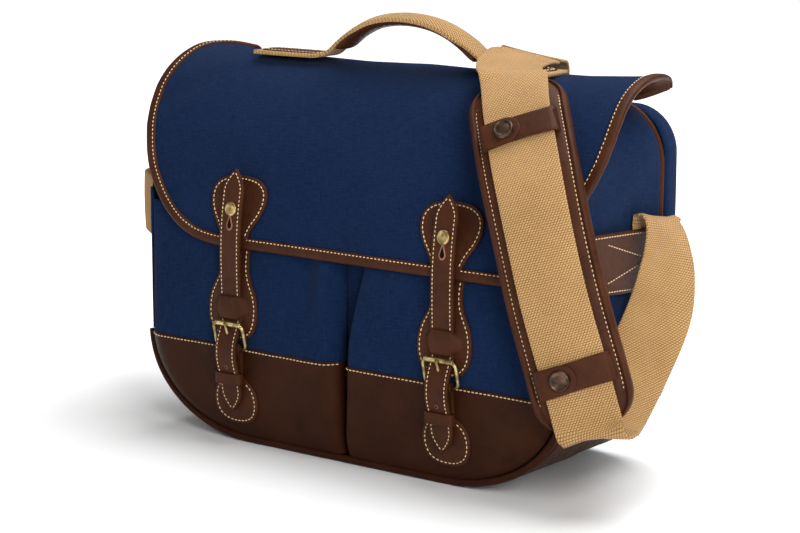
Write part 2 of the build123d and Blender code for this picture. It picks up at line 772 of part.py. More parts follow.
def pad_frame(distance, out):
    """The plane on the pad at a distance from its top, raised out of its face."""
    for (start, width), (end, next_width) in zip(PAD_LINE, PAD_LINE[1:]):
        run = Vector(*end) - Vector(*start)
        if distance <= run.length:
            share = distance / run.length
            across = Vector(*width) * (1 - share) + Vector(*next_width) * share
            normal = run.cross(across).normalized()
            origin = Vector(*start) + run * share + normal * out
            return Plane(origin, x_dir=normal.cross(run), z_dir=normal)
        distance -= run.length
    return None


KEEPER_OUT = PAD_THICK / 2 + STRAP_WEB + 2 * CLEAR + 4 * GAP
for name, distance in KEEPER_AT.items():
    with BuildPart() as band:
        with BuildSketch(pad_frame(distance, KEEPER_OUT)):
            Rectangle(2 * PAD_KEEPER_HALF, PAD_KEEPER_WIDTH)
        extrude(amount=PAD_KEEPER_THICK)
    keep(band.part, f"pad_keeper_{name}")

    with BuildPart() as snap:
        with BuildSketch(pad_frame(distance, KEEPER_OUT + PAD_KEEPER_THICK + GAP)):
            with Locations((SNAP_AT, 0)):
                Circle(SNAP_RADIUS)
        extrude(amount=SNAP_HEIGHT, taper=BEVEL)
    keep(snap.part, f"pad_snap_{name}")

ANCHOR_X = (PAD_KEEPER_HALF - ANCHOR_WIDTH / 2, ANCHOR_WIDTH / 2 - PAD_KEEPER_HALF)
with BuildPart() as anchors:
    for distance in KEEPER_AT.values():
        with BuildSketch(pad_frame(distance, PAD_THICK / 2 + 2 * CLEAR)):
            with Locations((ANCHOR_X[0], 0), (ANCHOR_X[1], 0)):
                Rectangle(ANCHOR_WIDTH, ANCHOR_LENGTH)
        extrude(amount=STRAP_WEB)
keep(anchors.part, "pad_keeper_anchors")
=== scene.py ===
import bpy
import numpy as np
from math import copysign, cos, exp, log, pi, radians, sin, sqrt
from mathutils import Matrix, Vector, noise


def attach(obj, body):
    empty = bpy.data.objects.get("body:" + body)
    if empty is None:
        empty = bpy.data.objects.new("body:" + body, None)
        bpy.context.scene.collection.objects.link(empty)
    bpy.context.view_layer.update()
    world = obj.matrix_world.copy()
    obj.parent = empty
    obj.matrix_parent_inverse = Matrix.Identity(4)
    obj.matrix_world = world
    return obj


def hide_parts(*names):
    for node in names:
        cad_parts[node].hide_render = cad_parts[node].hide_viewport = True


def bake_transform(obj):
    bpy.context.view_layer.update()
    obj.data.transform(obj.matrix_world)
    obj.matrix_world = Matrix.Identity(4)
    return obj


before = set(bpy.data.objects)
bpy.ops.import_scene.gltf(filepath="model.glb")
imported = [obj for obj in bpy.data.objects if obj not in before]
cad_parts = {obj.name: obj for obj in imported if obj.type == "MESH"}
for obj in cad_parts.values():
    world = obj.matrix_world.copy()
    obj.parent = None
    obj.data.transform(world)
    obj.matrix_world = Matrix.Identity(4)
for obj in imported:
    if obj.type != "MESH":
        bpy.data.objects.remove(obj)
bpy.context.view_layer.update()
scene = bpy.context.scene
MM = 0.001
SIDES = {"left": -1, "right": 1}
CLOSURE_X = {"left": -104.0, "right": 104.0}

# ---- camera
AZIMUTH, ELEVATION = radians(37.07), radians(11.09)
BAG_MIDDLE = Vector((0, 0, 150))
DISTANCE, OFF_RIGHT, OFF_UP = 1820, 3.75, 5.58
back = Vector((sin(AZIMUTH) * cos(ELEVATION), -cos(AZIMUTH) * cos(ELEVATION), sin(ELEVATION)))
right = Vector((cos(AZIMUTH), sin(AZIMUTH), 0))
up = back.cross(right)
eye = BAG_MIDDLE + back * DISTANCE - right * OFF_RIGHT - up * OFF_UP
camera = bpy.data.objects.new("camera", bpy.data.cameras.new("camera"))
camera.data.sensor_width = 36
camera.data.lens = 102.6
camera.data.clip_end = 50
camera.matrix_world = Matrix.Translation(eye * MM) @ Matrix((right, up, back)).transposed().to_4x4()
scene.collection.objects.link(camera)
scene.camera = camera

# ---- materials


class Look:
    """A Principled material and short ways to add nodes to it."""

    def __init__(self, name, rough=0.5, metal=0.0, **values):
        self.mat = bpy.data.materials.new(name)
        self.mat.use_nodes = True
        self.tree = self.mat.node_tree
        self.shader = self.tree.nodes["Principled BSDF"]
        self.shader.inputs["Roughness"].default_value = rough
        self.shader.inputs["Metallic"].default_value = metal
        for key, value in values.items():
            self.shader.inputs[key.replace("_", " ").title().replace("Ior", "IOR")].default_value = value
        self.height = None

    def put(self, socket, value):
        if hasattr(value, "is_linked"):
            self.tree.links.new(value, socket)
        else:
            socket.default_value = value

    def node(self, kind, inputs, **settings):
        """Adds a node with its inputs fed and returns its outputs."""
        node = self.tree.nodes.new("ShaderNode" + kind)
        for key, value in settings.items():
            setattr(node, key, value)
        for key, value in inputs.items():
            self.put(node.inputs[key], value)
        return node.outputs

    def math(self, kind, a, b=0.0):
        return self.node("Math", {0: a, 1: b}, operation=kind)[0]

    def times(self, a, b):
        return self.math("MULTIPLY", a, b)

    def add(self, first, *others):
        for other in others:
            first = self.math("ADD", first, other)
        return first

    def flow(self):
        """The surface's own coordinates in millimetres, across and along."""
        split = self.node("SeparateXYZ", {0: self.node("Attribute", {}, attribute_name="flow")["Vector"]})
        return split[0], split[1]

    def pack(self, x, y):
        return self.node("CombineXYZ", {0: x, 1: y})[0]

    def place(self):
        return self.node("TexCoord", {})["Object"]

    def cloud(self, scale, detail, vector=None):
        inputs = {"Vector": vector or self.place(), "Scale": scale, "Detail": detail, "Roughness": 0.55}
        return self.node("TexNoise", inputs)["Fac"]

    def cells(self, scale):
        return self.node("TexVoronoi", {"Vector": self.place(), "Scale": scale}, feature="DISTANCE_TO_EDGE")["Distance"]

    def span(self, value, low, high, to_low=0.0, to_high=1.0):
        inputs = {"Value": value, "From Min": low, "From Max": high, "To Min": to_low, "To Max": to_high}
        return self.node("MapRange", inputs, clamp=True)[0]

    def mix(self, share, *colours):
        a, b = [c if hasattr(c, "is_linked") else (*c, 1) for c in colours]
        return self.node("Mix", {0: share, 6: a, 7: b}, data_type="RGBA")[2]

    def colour(self, value):
        self.put(self.shader.inputs["Base Color"], value)

    def rough(self, value):
        self.put(self.shader.inputs["Roughness"], value)

    def bump(self, *layers):
        """Lays (height, distance, strength) bumps over each other."""
        for height, distance, strength in layers:
            inputs = {"Height": height, "Distance": distance, "Strength": strength}
            if self.height is not None:
                inputs["Normal"] = self.height
            self.height = self.node("Bump", inputs)[0]
        self.put(self.shader.inputs["Normal"], self.height)


def canvas(name, dark, light, sheen):
    """Heavy plain-woven canvas: uneven threads across and along, slubs and soft shading."""
    look = Look(name, 0.8, sheen_weight=sheen, sheen_roughness=0.5, specular_ior_level=0.01)
    u, v = look.flow()
    pitch = 2 * pi / CANVAS_PITCH
    weave = look.times(look.math("SINE", look.times(u, pitch)), look.math("SINE", look.times(v, pitch)))
    weft = look.cloud(1.0, 2, look.pack(look.times(u, 0.11), look.times(v, 0.95)))
    warp = look.cloud(1.0, 2, look.pack(look.times(u, 0.95), look.times(v, 0.10)))
    slub = look.cloud(900, 2)
    wide = look.cloud(14, 4)
    layers = ((slub, 0.14), (weft, 0.30), (warp, 0.22), (wide, 0.12))
    tone = look.add(look.span(weave, -1, 1, 0, 0.22), *[look.span(part, 0.3, 0.7, 0, share) for part, share in layers])
    look.colour(look.mix(tone, dark, light))
    look.rough(look.span(wide, 0.3, 0.7, 0.74, 0.88))
    look.bump((weave, 0.00012, 0.8), (weft, 0.00025, 0.6), (warp, 0.00020, 0.5), (wide, 0.0012, 0.35))
    return look.mat


def leather(name, dark, light, rough, gloss=0.08):
    """Smooth vegetable-tanned leather with fine pores, pull-up mottling and rubbed patches."""
    look = Look(name, rough, specular_ior_level=gloss)
    pores = look.cells(1500)
    crease = look.cells(420)
    mottle = look.cloud(38, 5)
    streak = look.cloud(210, 4)
    tone = look.add(look.span(mottle, 0.3, 0.7, 0, 0.7), look.span(streak, 0.3, 0.72, 0, 0.3))
    pit = look.span(pores, 0.0, 0.18, 0.22, 0)
    look.colour(look.mix(pit, look.mix(tone, dark, light), tuple(c * 0.35 for c in dark)))
    rubbed = look.span(mottle, 0.35, 0.65, -0.04, 0.05)
    look.rough(look.add(look.span(streak, 0.3, 0.7, rough - 0.07, rough + 0.08), rubbed))
    grain = look.span(pores, 0, 0.25), look.span(crease, 0, 0.12)
    look.bump((grain[0], 0.00007, 0.8), (grain[1], 0.00008, 0.5), (streak, 0.0003, 0.35))
    return look.mat


def webbing(name, dark, light):
    """Heavy cotton webbing: a slanted basket weave of thick yarns with fuzz."""
    look = Look(name, 0.88, sheen_weight=0.10, sheen_roughness=0.5, specular_ior_level=0.1)
    u, v = look.flow()
    row = look.math("DIVIDE", v, YARN_LONG)
    share = look.math("FRACT", row)
    column = look.add(look.math("DIVIDE", u, YARN_WIDE), look.times(look.math("FLOOR", row), 0.5))
    slant = look.add(column, look.times(share, 0.32))
    bulges = [look.math("SINE", look.times(part, pi)) for part in (share, look.math("FRACT", slant))]
    yarn = look.times(*[look.math("POWER", bulge, 0.6) for bulge in bulges])
    fuzz = look.cloud(1400, 3)
    wide = look.cloud(22, 4)
    tone = look.add(look.span(yarn, 0.15, 0.75, 0, 0.8), look.span(fuzz, 0.3, 0.7, -0.05, 0.18),
                    look.span(wide, 0.3, 0.7, -0.05, 0.15))
    look.colour(look.mix(tone, dark, light))
    look.bump((yarn, 0.00045, 0.9), (fuzz, 0.00025, 0.5))
    return look.mat


def metal(name, dark, light, rough):
    """Aged metal: tarnish in clouds, fine scratches."""
    look = Look(name, rough, 1.0)
    tarnish = look.cloud(160, 5)
    scratch = look.cloud(1900, 2)
    look.colour(look.mix(look.span(tarnish, 0.36, 0.62), light, dark))
    dull = look.span(tarnish, 0.3, 0.7, rough - 0.06, rough + 0.16)
    look.rough(look.add(dull, look.span(scratch, 0.4, 0.7, 0, 0.06)))
    look.bump((tarnish, 0.0002, 0.25), (scratch, 0.00006, 0.5))
    return look.mat


def thread(name, dark, light):
    """Waxed thread with a twist."""
    look = Look(name, 0.7, sheen_weight=0.1)
    twist = look.cloud(2600, 2)
    look.colour(look.mix(look.span(twist, 0.3, 0.7), dark, light))
    look.bump((twist, 0.0002, 0.7))
    return look.mat


CANVAS_PITCH = 1.15  # of the threads, in mm
YARN_WIDE, YARN_LONG = 2.3, 1.7
NAVY = canvas("navy_canvas", (0.0014, 0.0048, 0.0200), (0.0096, 0.0262, 0.0780), 0.028)
LINING = canvas("lining_cotton", (0.16, 0.115, 0.065), (0.30, 0.22, 0.13), 0.1)
DARK = leather("dark_leather", (0.023, 0.0068, 0.0026), (0.045, 0.0138, 0.0054), 0.40, 0.055)
BROWN = leather("brown_leather", (0.034, 0.0102, 0.0038), (0.070, 0.0222, 0.0086), 0.36)
PALE = leather("raw_leather", (0.20, 0.085, 0.050), (0.34, 0.16, 0.10), 0.6)
# painted shade: near-black leather for the discs that fill the punched holes and stand in for the shade inside them
HOLE_SHADE = leather("painted_hole_shade", (0.004, 0.002, 0.001), (0.008, 0.004, 0.002), 0.8)
TAN = webbing("tan_webbing", (0.130, 0.064, 0.0200), (0.50, 0.298, 0.121))
THREAD = thread("cream_thread", (0.50, 0.33, 0.17), (0.80, 0.60, 0.36))
BRASS = metal("aged_brass", (0.20, 0.135, 0.045), (0.62, 0.48, 0.22), 0.30)
BRONZE = metal("bronze", (0.045, 0.028, 0.020), (0.13, 0.080, 0.052), 0.36)

# ---- building


def shares(count):
    """Even steps from 0 to 1."""
    return [i / count for i in range(count + 1)]


def lengths(points, axis=0):
    """The distance run along points up to each of them."""
    steps = np.linalg.norm(np.diff(points, axis=axis), axis=-1)
    return np.insert(np.cumsum(steps, axis=axis), 0, 0, axis=axis)


def smooth(points, step, dims=3):
    """A smooth line through points, sampled evenly. Only the first dims numbers count as distance."""
    p = np.array(points, float)
    t = lengths(p[:, :dims])
    m = np.empty_like(p)
    m[1:-1] = (p[2:] - p[:-2]) / (t[2:] - t[:-2])[:, None]
    m[0] = (p[1] - p[0]) / (t[1] - t[0])
    m[-1] = (p[-1] - p[-2]) / (t[-1] - t[-2])
    at = np.linspace(0, t[-1], max(2, int(round(t[-1] / step)) + 1))
    k = np.clip(np.searchsorted(t, at, side="right") - 1, 0, len(t) - 2)
    h = (t[k + 1] - t[k])[:, None]
    s = (at - t[k])[:, None] / h
    return (
        (2 * s**3 - 3 * s**2 + 1) * p[k] + (s**3 - 2 * s**2 + s) * h * m[k]
        + (3 * s**2 - 2 * s**3) * p[k + 1] + (s**3 - s**2) * h * m[k + 1]
    )


def skin(rows, columns, shut=False, loop=False, caps=False):
    """Faces between rows of points: shut closes each row, loop joins the last to the first, caps fill the end rows."""
    faces = []
    for i in range(rows if loop else rows - 1):
        k = (i + 1) % rows
        for j in range(columns if shut else columns - 1):
            l = (j + 1) % columns
            faces.append((i * columns + j, i * columns + l, k * columns + l, k * columns + j))
    if caps:
        faces.append(tuple(reversed(range(columns))))
        faces.append(tuple((rows - 1) * columns + j for j in range(columns)))
    return faces


def build(name, verts, faces, mat, flow=None):
    """A smooth-shaded mesh from millimetre vertices. flow is each one's place on the surface, for the weave."""
    mesh = bpy.data.meshes.new(name)
    mesh.from_pydata([tuple(Vector(v) * MM) for v in verts], [], faces)
    mesh.validate()
    layer = mesh.attributes.new("flow", "FLOAT_VECTOR", "POINT")
    places = [(a, b, 0) for a, b in flow or [(0, 0)] * len(verts)]
    layer.data.foreach_set("vector", np.array(places, np.float32).ravel())
    mesh.shade_smooth()
    piece = bpy.data.objects.new(name, mesh)
    scene.collection.objects.link(piece)
    mesh.materials.append(mat)
    return piece


def refine(piece, thick=0.0, side=0, fine=True):
    """Gives a piece a thickness, on one side or on both for 0, and smooths it."""
    if thick:
        solid = piece.modifiers.new("thick", "SOLIDIFY")
        solid.thickness = thick * MM
        solid.offset = side
    if fine:
        divide = piece.modifiers.new("fine", "SUBSURF")
        divide.levels = divide.render_levels = 1
    graph = bpy.context.evaluated_depsgraph_get()
    mesh = bpy.data.meshes.new_from_object(piece.evaluated_get(graph), preserve_all_data_layers=True, depsgraph=graph)
    piece.modifiers.clear()
    piece.data = mesh
    return piece


def join(name, pieces):
    """Several pieces as one."""
    verts, faces, flow = [], [], []
    mat = pieces[0].data.materials[0]
    for piece in pieces:
        start = len(verts)
        verts += [v.co / MM for v in piece.data.vertices]
        faces += [[start + i for i in f.vertices] for f in piece.data.polygons]
        flow += [tuple(d.vector)[:2] for d in piece.data.attributes["flow"].data]
        bpy.data.objects.remove(piece)
    return build(name, verts, faces, mat, flow)


def place(piece, body, *nodes, bend=None):
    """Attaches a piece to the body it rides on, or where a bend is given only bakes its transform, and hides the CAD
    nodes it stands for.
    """
    if bend:
        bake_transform(piece)
    else:
        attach(piece, body)
    if nodes:
        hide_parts(*nodes)


def paint(mat, *nodes):
    """Gives CAD nodes that are shown as they are a material."""
    for node in nodes:
        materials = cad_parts[node].data.materials
        materials.clear()
        materials.append(mat)


def grid(name, rows, mat, thick, side=0):
    """A smoothed panel from rows of points, with a thickness on one side of it or on both for 0."""
    rows = np.array(rows, float)
    n, m = rows.shape[:2]
    across, along = lengths(rows, 1), lengths(rows, 0)
    across -= across[:, m // 2 : m // 2 + 1]
    piece = build(name, rows.reshape(-1, 3), skin(n, m), mat, list(zip(across.ravel(), along.ravel())))
    return refine(piece, thick, side)


def around(sides):
    """The angles of a full turn."""
    return [2 * pi * i / sides for i in range(sides)]


def circle(radius, sides=12):
    return [(radius * cos(a), radius * sin(a)) for a in around(sides)]


def slab(half, deep, corner, across=6):
    """The rounded section of a strap, as (x, y) points."""
    corner = min(corner, deep, half)
    w, d = half - corner, deep - corner
    points = []
    for cx, cy, start, sign in ((w, d, 0, 1), (-w, d, 90, 0), (-w, -d, 180, -1), (w, -d, 270, 0)):
        for a in [radians(start + 30 * i) for i in range(4)]:
            points.append((cx + corner * cos(a), cy + corner * sin(a)))
        for i in range(1, across if sign else 1):
            points.append((sign * w * (1 - 2 * i / across), sign * deep))
    return points


def frames(centres, wides):
    """Along, across and out directions at each point of a strap."""
    out = []
    n = len(centres)
    for i in range(n):
        a = Vector(centres[min(i + 1, n - 1)]) - Vector(centres[max(i - 1, 0)])
        a.normalize()
        w = Vector(wides[i])
        w = (w - a * w.dot(a)).normalized()
        out.append((a, w, a.cross(w)))
    return out


def sweep(name, centres, wides, sections, mat, loop=False):
    """A body swept along a line. wides and sections hold one entry for each point, or one for all of them."""
    count = len(centres)
    if isinstance(wides, tuple):
        wides = [wides] * count
    if isinstance(sections[0], tuple):
        sections = [sections] * count
    verts, flow = [], []
    run = 0.0
    for i, (c, (_, w, n)) in enumerate(zip(centres, frames(centres, wides))):
        if i:
            run += (Vector(c) - Vector(centres[i - 1])).length
        for x, y in sections[i]:
            verts.append(Vector(c) + w * x + n * y)
            flow.append((x, run))
    return build(name, verts, skin(count, len(sections[0]), True, loop, not loop), mat, flow)


def turned(name, foot, out, side, profile, sides, mat):
    """A turned metal part standing on foot. profile lists its (height, radius)."""
    third = out.cross(side).normalized()
    verts = []
    for height, radius in profile:
        for a in around(sides):
            verts.append(foot + out * height + side * (radius * cos(a)) + third * (radius * sin(a)))
    return build(name, verts, skin(len(profile), sides, True, caps=True), mat)


# a stitch's rings as (place along it, size, height), in shares of its length and width, and mm
STITCH_RINGS = ((-0.5, 0.35, -0.32), (-0.3, 0.9, -0.02), (0, 1.0, 0.06), (0.3, 0.9, -0.02), (0.5, 0.35, -0.32))
STITCH_SIDES = 6


def stitches(name, lines, pitch=3.6, length=2.6, wide=0.95):
    """Thread stitches along lines of (point, outward direction)."""
    verts, faces = [], []
    pattern = skin(len(STITCH_RINGS), STITCH_SIDES, True, caps=True)
    for line in lines:
        points, outs = [np.array([list(pair[k]) for pair in line], float) for k in (0, 1)]
        runs = lengths(points)
        count = max(1, int(runs[-1] / pitch))
        step = runs[-1] / count
        for at in [(k + 0.5) * step for k in range(count)]:
            a, b, n = [Vector([np.interp(place_on, runs, column) for column in table.T]) for place_on, table in
                       ((at - length / 2, points), (at + length / 2, points), (at, outs))]
            run = b - a
            size = run.length
            if size < 1e-6:
                continue
            run.normalize()
            side = run.cross(n.normalized()).normalized()
            n = side.cross(run)
            base = len(verts)
            for t, r, drop in STITCH_RINGS:
                for angle in around(STITCH_SIDES):
                    verts.append((a + b) / 2 + run * (t * size) + side * (cos(angle) * r * wide / 2)
                                 + n * (sin(angle) * r * wide / 2 + drop))
            faces += [tuple(base + i for i in face) for face in pattern]
    return build(name, verts, faces, THREAD)


def wobble(p, scale, seed=0.0):
    """Smooth seeded noise from -1 to 1."""
    return noise.noise(Vector((p[0] / scale + seed, p[1] / scale - seed, p[2] / scale + 2 * seed)))


def step_up(value, low, high):
    t = min(1.0, max(0.0, (value - low) / (high - low)))
    return t * t * (3 - 2 * t)


# ---- shapes shared with the CAD
HALF_WIDTH, CORNER_RUN, CORNER_RISE, LEATHER_TOP = 206.0, 108.0, 82.0, 81.0
BODY_TOP, SHOULDER = 286.0, 46.0
BODY_FRONT, BODY_BACK = -74.0, 48.8
INNER_TOP = 199  # of the front wall and the lining
# the front pockets' and the flap's profiles as (depth, height)
POCKET = [(-80.5, 7), (-83, 18), (-85.3, 38), (-88.3, 66), (-89.4, 86), (-88.6, 110), (-84.8, 143), (-80, 170),
          (-77, 190)]
FLAP = [(50, 292), (45, 300), (25, 305), (0, 306), (-22, 298), (-42, 280), (-60, 253), (-71, 228), (-79, 202),
        (-84.5, 182), (-87, 167), (-87.8, 161)]
FLAP_LINE = smooth(FLAP, 1.0, 2)
POCKET_LINE = smooth(POCKET, 1.0, 2)


def flap_y(z):
    """The flap's front face at a height."""
    low = FLAP_LINE[np.argmax(FLAP_LINE[:, 1]) :]
    return float(np.interp(-z, -low[:, 1], low[:, 0]))


def pocket_y(z):
    return float(np.interp(z, POCKET_LINE[:, 1], POCKET_LINE[:, 0]))


def corner(cx, cz, rx, rz, start, count=14):
    """A quarter of an ellipse in the front view."""
    angles = [radians(start + 90 * i / count) for i in range(count + 1)]
    return [(cx + rx * cos(a), cz + rz * sin(a)) for a in angles]


def ring(inset, top, shoulder=0.0):
    """The body's outline seen from the front, from the left top down, round and up to the right top."""
    half, foot = HALF_WIDTH - inset, HALF_WIDTH - CORNER_RUN
    line, end = [(-half, top)], [(half, top)]
    if shoulder:
        bend = shoulder - inset
        line = corner(-half + bend, top - shoulder, bend, bend, 90)
        end = corner(half - bend, top - shoulder, bend, bend, 0)
    steps = 12
    low = line[-1][1]
    line += [(-half, low + (CORNER_RISE - low) * i / steps) for i in range(1, steps)]
    line += corner(-foot, CORNER_RISE, CORNER_RUN - inset, CORNER_RISE - inset, 180)
    line += [(-foot + 2 * foot * i / steps, inset) for i in range(1, steps)]
    line += corner(foot, CORNER_RISE, CORNER_RUN - inset, CORNER_RISE - inset, 270)
    line += [(half, CORNER_RISE + (low - CORNER_RISE) * i / steps) for i in range(1, steps)]
    return line + end


def roof_y(z):
    """How far forward the walls may come under the flap at a height."""
    return flap_y(z + 4.8) + 4.8 if z > 195 else BODY_FRONT


# ---- side walls, base and lining
SINK_LIMIT = 208.2  # how far out the wall may come behind the side tab


def wall(name, node, line, mat, thick, dent, seed):
    """A band of the side wall along part of the outline, from front to back."""
    rows = []
    for x, z in line:
        front = max(BODY_FRONT + 0.5, roof_y(z))
        if z > 222:
            out = Vector((x, 0, z - 140))
        else:
            out = Vector((x, 0, 0)) if z > CORNER_RISE else Vector((x * 0.6, 0, z - CORNER_RISE))
        out.normalize()
        row = []
        for t in shares(26):
            y = front + (BODY_BACK - front) * t
            edge = sin(pi * t) ** 0.7
            push = dent(y, z) * edge + 1.3 * edge * wobble((x, y, z), 38, seed)
            push += 0.5 * edge * wobble((x, y, z), 13, seed + 3)
            p = Vector((x, y, z)) + out * push
            if 138 < z < 206:
                p.x = max(-SINK_LIMIT, min(SINK_LIMIT, p.x))
            row.append(p)
        rows.append(row)
    place(grid(name, rows, mat, thick, -1), "bag_body", node)


def canvas_dent(y, z):
    """The gusset sinks between its seams, with a soft fold below the flap's corner."""
    sink = -2.4 * step_up(z, 90, 190) * (1 - step_up(z, 215, 275))
    fold = 2.2 * exp(-(((z - 222 - 0.55 * (y + 10)) / 13) ** 2)) * step_up(y, -60, 10)
    return sink + fold


def base_dent(_, z):
    return 0.0 if z < 12 else sin(z / 18.0)


body_line = smooth(ring(0.6, BODY_TOP, SHOULDER), 6.0)
for side, sign in SIDES.items():
    line = [p for p in body_line if sign * p[0] > 0 and p[1] > LEATHER_TOP]
    wall(f"gusset_canvas_{side}", f"side_gusset_{side}", line, NAVY, 2.2, canvas_dent, 4.2 if side == "right" else 9.1)
line = [p for p in smooth(ring(0.3, BODY_TOP, SHOULDER), 5.0) if p[1] < LEATHER_TOP + 5]
wall("base_leather_shell", "base_leather", line, DARK, 2.6, base_dent, 2.7)


def plate(name, node, y, line, seed):
    """A flat sewn panel filling the outline, slightly wavy."""
    verts = []
    for share in shares(8):
        for x, z in line:
            px, pz = x + (x * 0.35 - x) * share, z + (130 + (z - 130) * 0.3 - z) * share
            verts.append(Vector((px, y + 0.8 * share * wobble((px, y, pz), 40, seed), pz)))
    verts.append(Vector((0, y, 130)))
    m = len(line)
    faces = skin(9, m, True) + [(8 * m + j, 8 * m + (j + 1) % m, 9 * m) for j in range(m)]
    piece = refine(build(name, verts, faces, NAVY, [(v.x, v.z) for v in verts]), 2.2)
    place(piece, "bag_body", node)


plate("front_wall", "front_panel", -68.6, smooth(ring(4.0, INNER_TOP), 7.0), 1.0)
plate("back_wall", "back_panel", 47.3, smooth(ring(4.0, BODY_TOP, SHOULDER), 7.0), 6.0)

# quilted lining: a band and two faces, with sewn channels
CHANNEL = pi / 27


def puffed(a, b):
    """How far the quilting stands out between its channels."""
    return 1.5 * abs(sin(a * CHANNEL)) * abs(sin(b * CHANNEL))


rows = []
for k, (x, z) in enumerate(smooth(ring(6.0, INNER_TOP), 6.0)):
    towards = Vector((x, 0, z - 110)).normalized()
    rows.append([Vector((x, y, z)) - towards * puffed(y, k * 6.0) for y in [-65.5 + t * 109.5 for t in shares(40)]])
lining = [grid("lining_band", rows, LINING, 1.5)]
for y, face in ((-64.6, 1), (43.0, -1)):
    rows = []
    for z in [7 + 192 * i / 32 for i in range(33)]:
        reach = 98 + 101 * sqrt(max(0.0, 1 - ((82 - min(z, 82)) / 76) ** 2)) if z < 82 else 199.0
        rows.append([(x, y + face * puffed(z, x), z) for x in [reach * (2 * j / 60 - 1) for j in range(61)]])
    lining.append(grid(f"lining_face_{face}", rows, LINING, 1.2))
piece = join("quilted_lining", lining)
place(piece, "bag_body", "padded_lining")


def reach_at(z, inset):
    """Half the outline's width at a height."""
    if z >= CORNER_RISE:
        return HALF_WIDTH - inset
    drop = (CORNER_RISE - z) / (CORNER_RISE - inset)
    return HALF_WIDTH - CORNER_RUN + (CORNER_RUN - inset) * sqrt(max(0.0, 1 - drop**2))


# ---- piping
def piping(name, y, line, radius, mat, node):
    """A rolled edge along part of the outline."""
    points = [(x, y + 0.3 * wobble((x, y, z), 20, 5), z) for x, z in line]
    place(sweep(name, points, (0, 1, 0), circle(radius), mat), "bag_body", node)


piping("back_piping_roll", 51.4, smooth(ring(2.1, BODY_TOP, SHOULDER), 4.0), 2.3, BROWN, "back_piping")
line = [q for q in smooth(ring(2.8, 200), 4.0) if q[1] < LEATHER_TOP + 2]
piping("front_piping_roll", -77.2, line, 3.0, DARK, "front_piping")
for side, sign in SIDES.items():
    line = [(sign * reach_at(z, 3.6), z) for z in np.linspace(LEATHER_TOP, INNER_TOP, 30)]
    piping(f"front_welt_{side}", -75.6, line, 1.5, NAVY, "front_piping")

# ---- front pockets
EDGE_INSET = 5.6
SEAM_Z = 79.0


def hump(value, middle, width):
    return exp(-(((value - middle) / width) ** 2))


def pocket_start(sign, z):
    """Where a pocket's face begins beside the centre fold, which opens towards the top."""
    if sign > 0:
        return 1.0 + 5.5 * step_up(z, 8, 82) + 15.0 * step_up(z, 82, 185)
    return 1.2 + 1.5 * step_up(z, 60, 185)


def pocket_point(sign, s, z, lift=0.0):
    """A point of a pocket's face: s runs from the centre fold (0) to the outer edge (1)."""
    reach = reach_at(max(z, EDGE_INSET), EDGE_INSET)
    start = pocket_start(sign, z)
    x = start + (reach - start) * s
    face = pocket_y(z)
    outer = reach - x
    inner = x - start
    low = z - EDGE_INSET
    rest, fold_y = -77.6, -70.8
    roll = 1 - (1 - min(1, outer / 20.0)) ** 2.4
    fold_wide = 7.0 if sign > 0 else 9.0 + 9.0 * step_up(z, 20, 120)
    fold = (1 - (1 - min(1, inner / fold_wide)) ** 2.4) ** (0.6 if sign > 0 else 0.8)
    foot = 1 - (1 - min(1, low / 20.0)) ** 2.2
    y = rest + (face - rest) * min(roll, 1) * foot
    y = fold_y + (y - fold_y) * fold
    puff = step_up(inner, 0, 30) * step_up(outer, 0, 30) * step_up(low, 0, 25)
    seed = 11.0 if sign > 0 else 23.0
    y += puff * (1.3 * wobble((x, 0, z), 55, seed) + 0.5 * wobble((x, 0, z), 20, seed + 2))
    y += 1.6 * hump(x, 26 + (z - 90) * 0.22, 7) * step_up(z, 85, 150) * (1 if sign < 0 else 0.5)
    if sign < 0:
        y += step_up(z, 84, 150) * (5.5 * hump(inner, 36, 13) - 2.2 * hump(inner, 15, 7))
    else:
        y += step_up(z, 95, 150) * (2.6 * hump(inner, 62, 12) - 1.5 * hump(inner, 30, 18))
    return Vector((sign * x, y - lift, z))


COLUMNS = ([0.0, 0.008, 0.02, 0.04, 0.065, 0.095] + [0.13 + 0.77 * i / 22 for i in range(23)]
           + [0.925, 0.95, 0.97, 0.985, 1.0])
PARTS = {
    "leather": ([5.6, 5.9, 6.6, 7.8, 9.5, 12, 15, 19, 24, 30, 37, 45, 53, 61, 69, 76, 80.2, 81.2], DARK, 0.9, 2.0),
    "canvas": ([78.5, 82, 88, 95, 103, 111, 119, 127, 135, 143, 151, 159, 167, 175, 183, 190], NAVY, 0.0, 1.8),
}
for side, sign in SIDES.items():
    for part, (heights, mat, lift, thick) in PARTS.items():
        rows = [[pocket_point(sign, s, z, lift) for s in COLUMNS[::sign]] for z in heights]
        place(grid(f"pocket_{part}_face_{side}", rows, mat, thick, -1), "bag_body", f"pocket_{part}_{side}")
    seam = []
    for s in [0.012 + 0.976 * i / 159 for i in range(160)]:
        before, here, ahead = [pocket_point(sign, min(1, max(0, s + d)), SEAM_Z, 1.0) for d in (-0.01, 0, 0.01)]
        n = (ahead - before).cross(Vector((0, 0, 1))) * sign
        seam.append((here, n.normalized()))
    place(stitches(f"pocket_seam_{side}", [seam]), "bag_body")

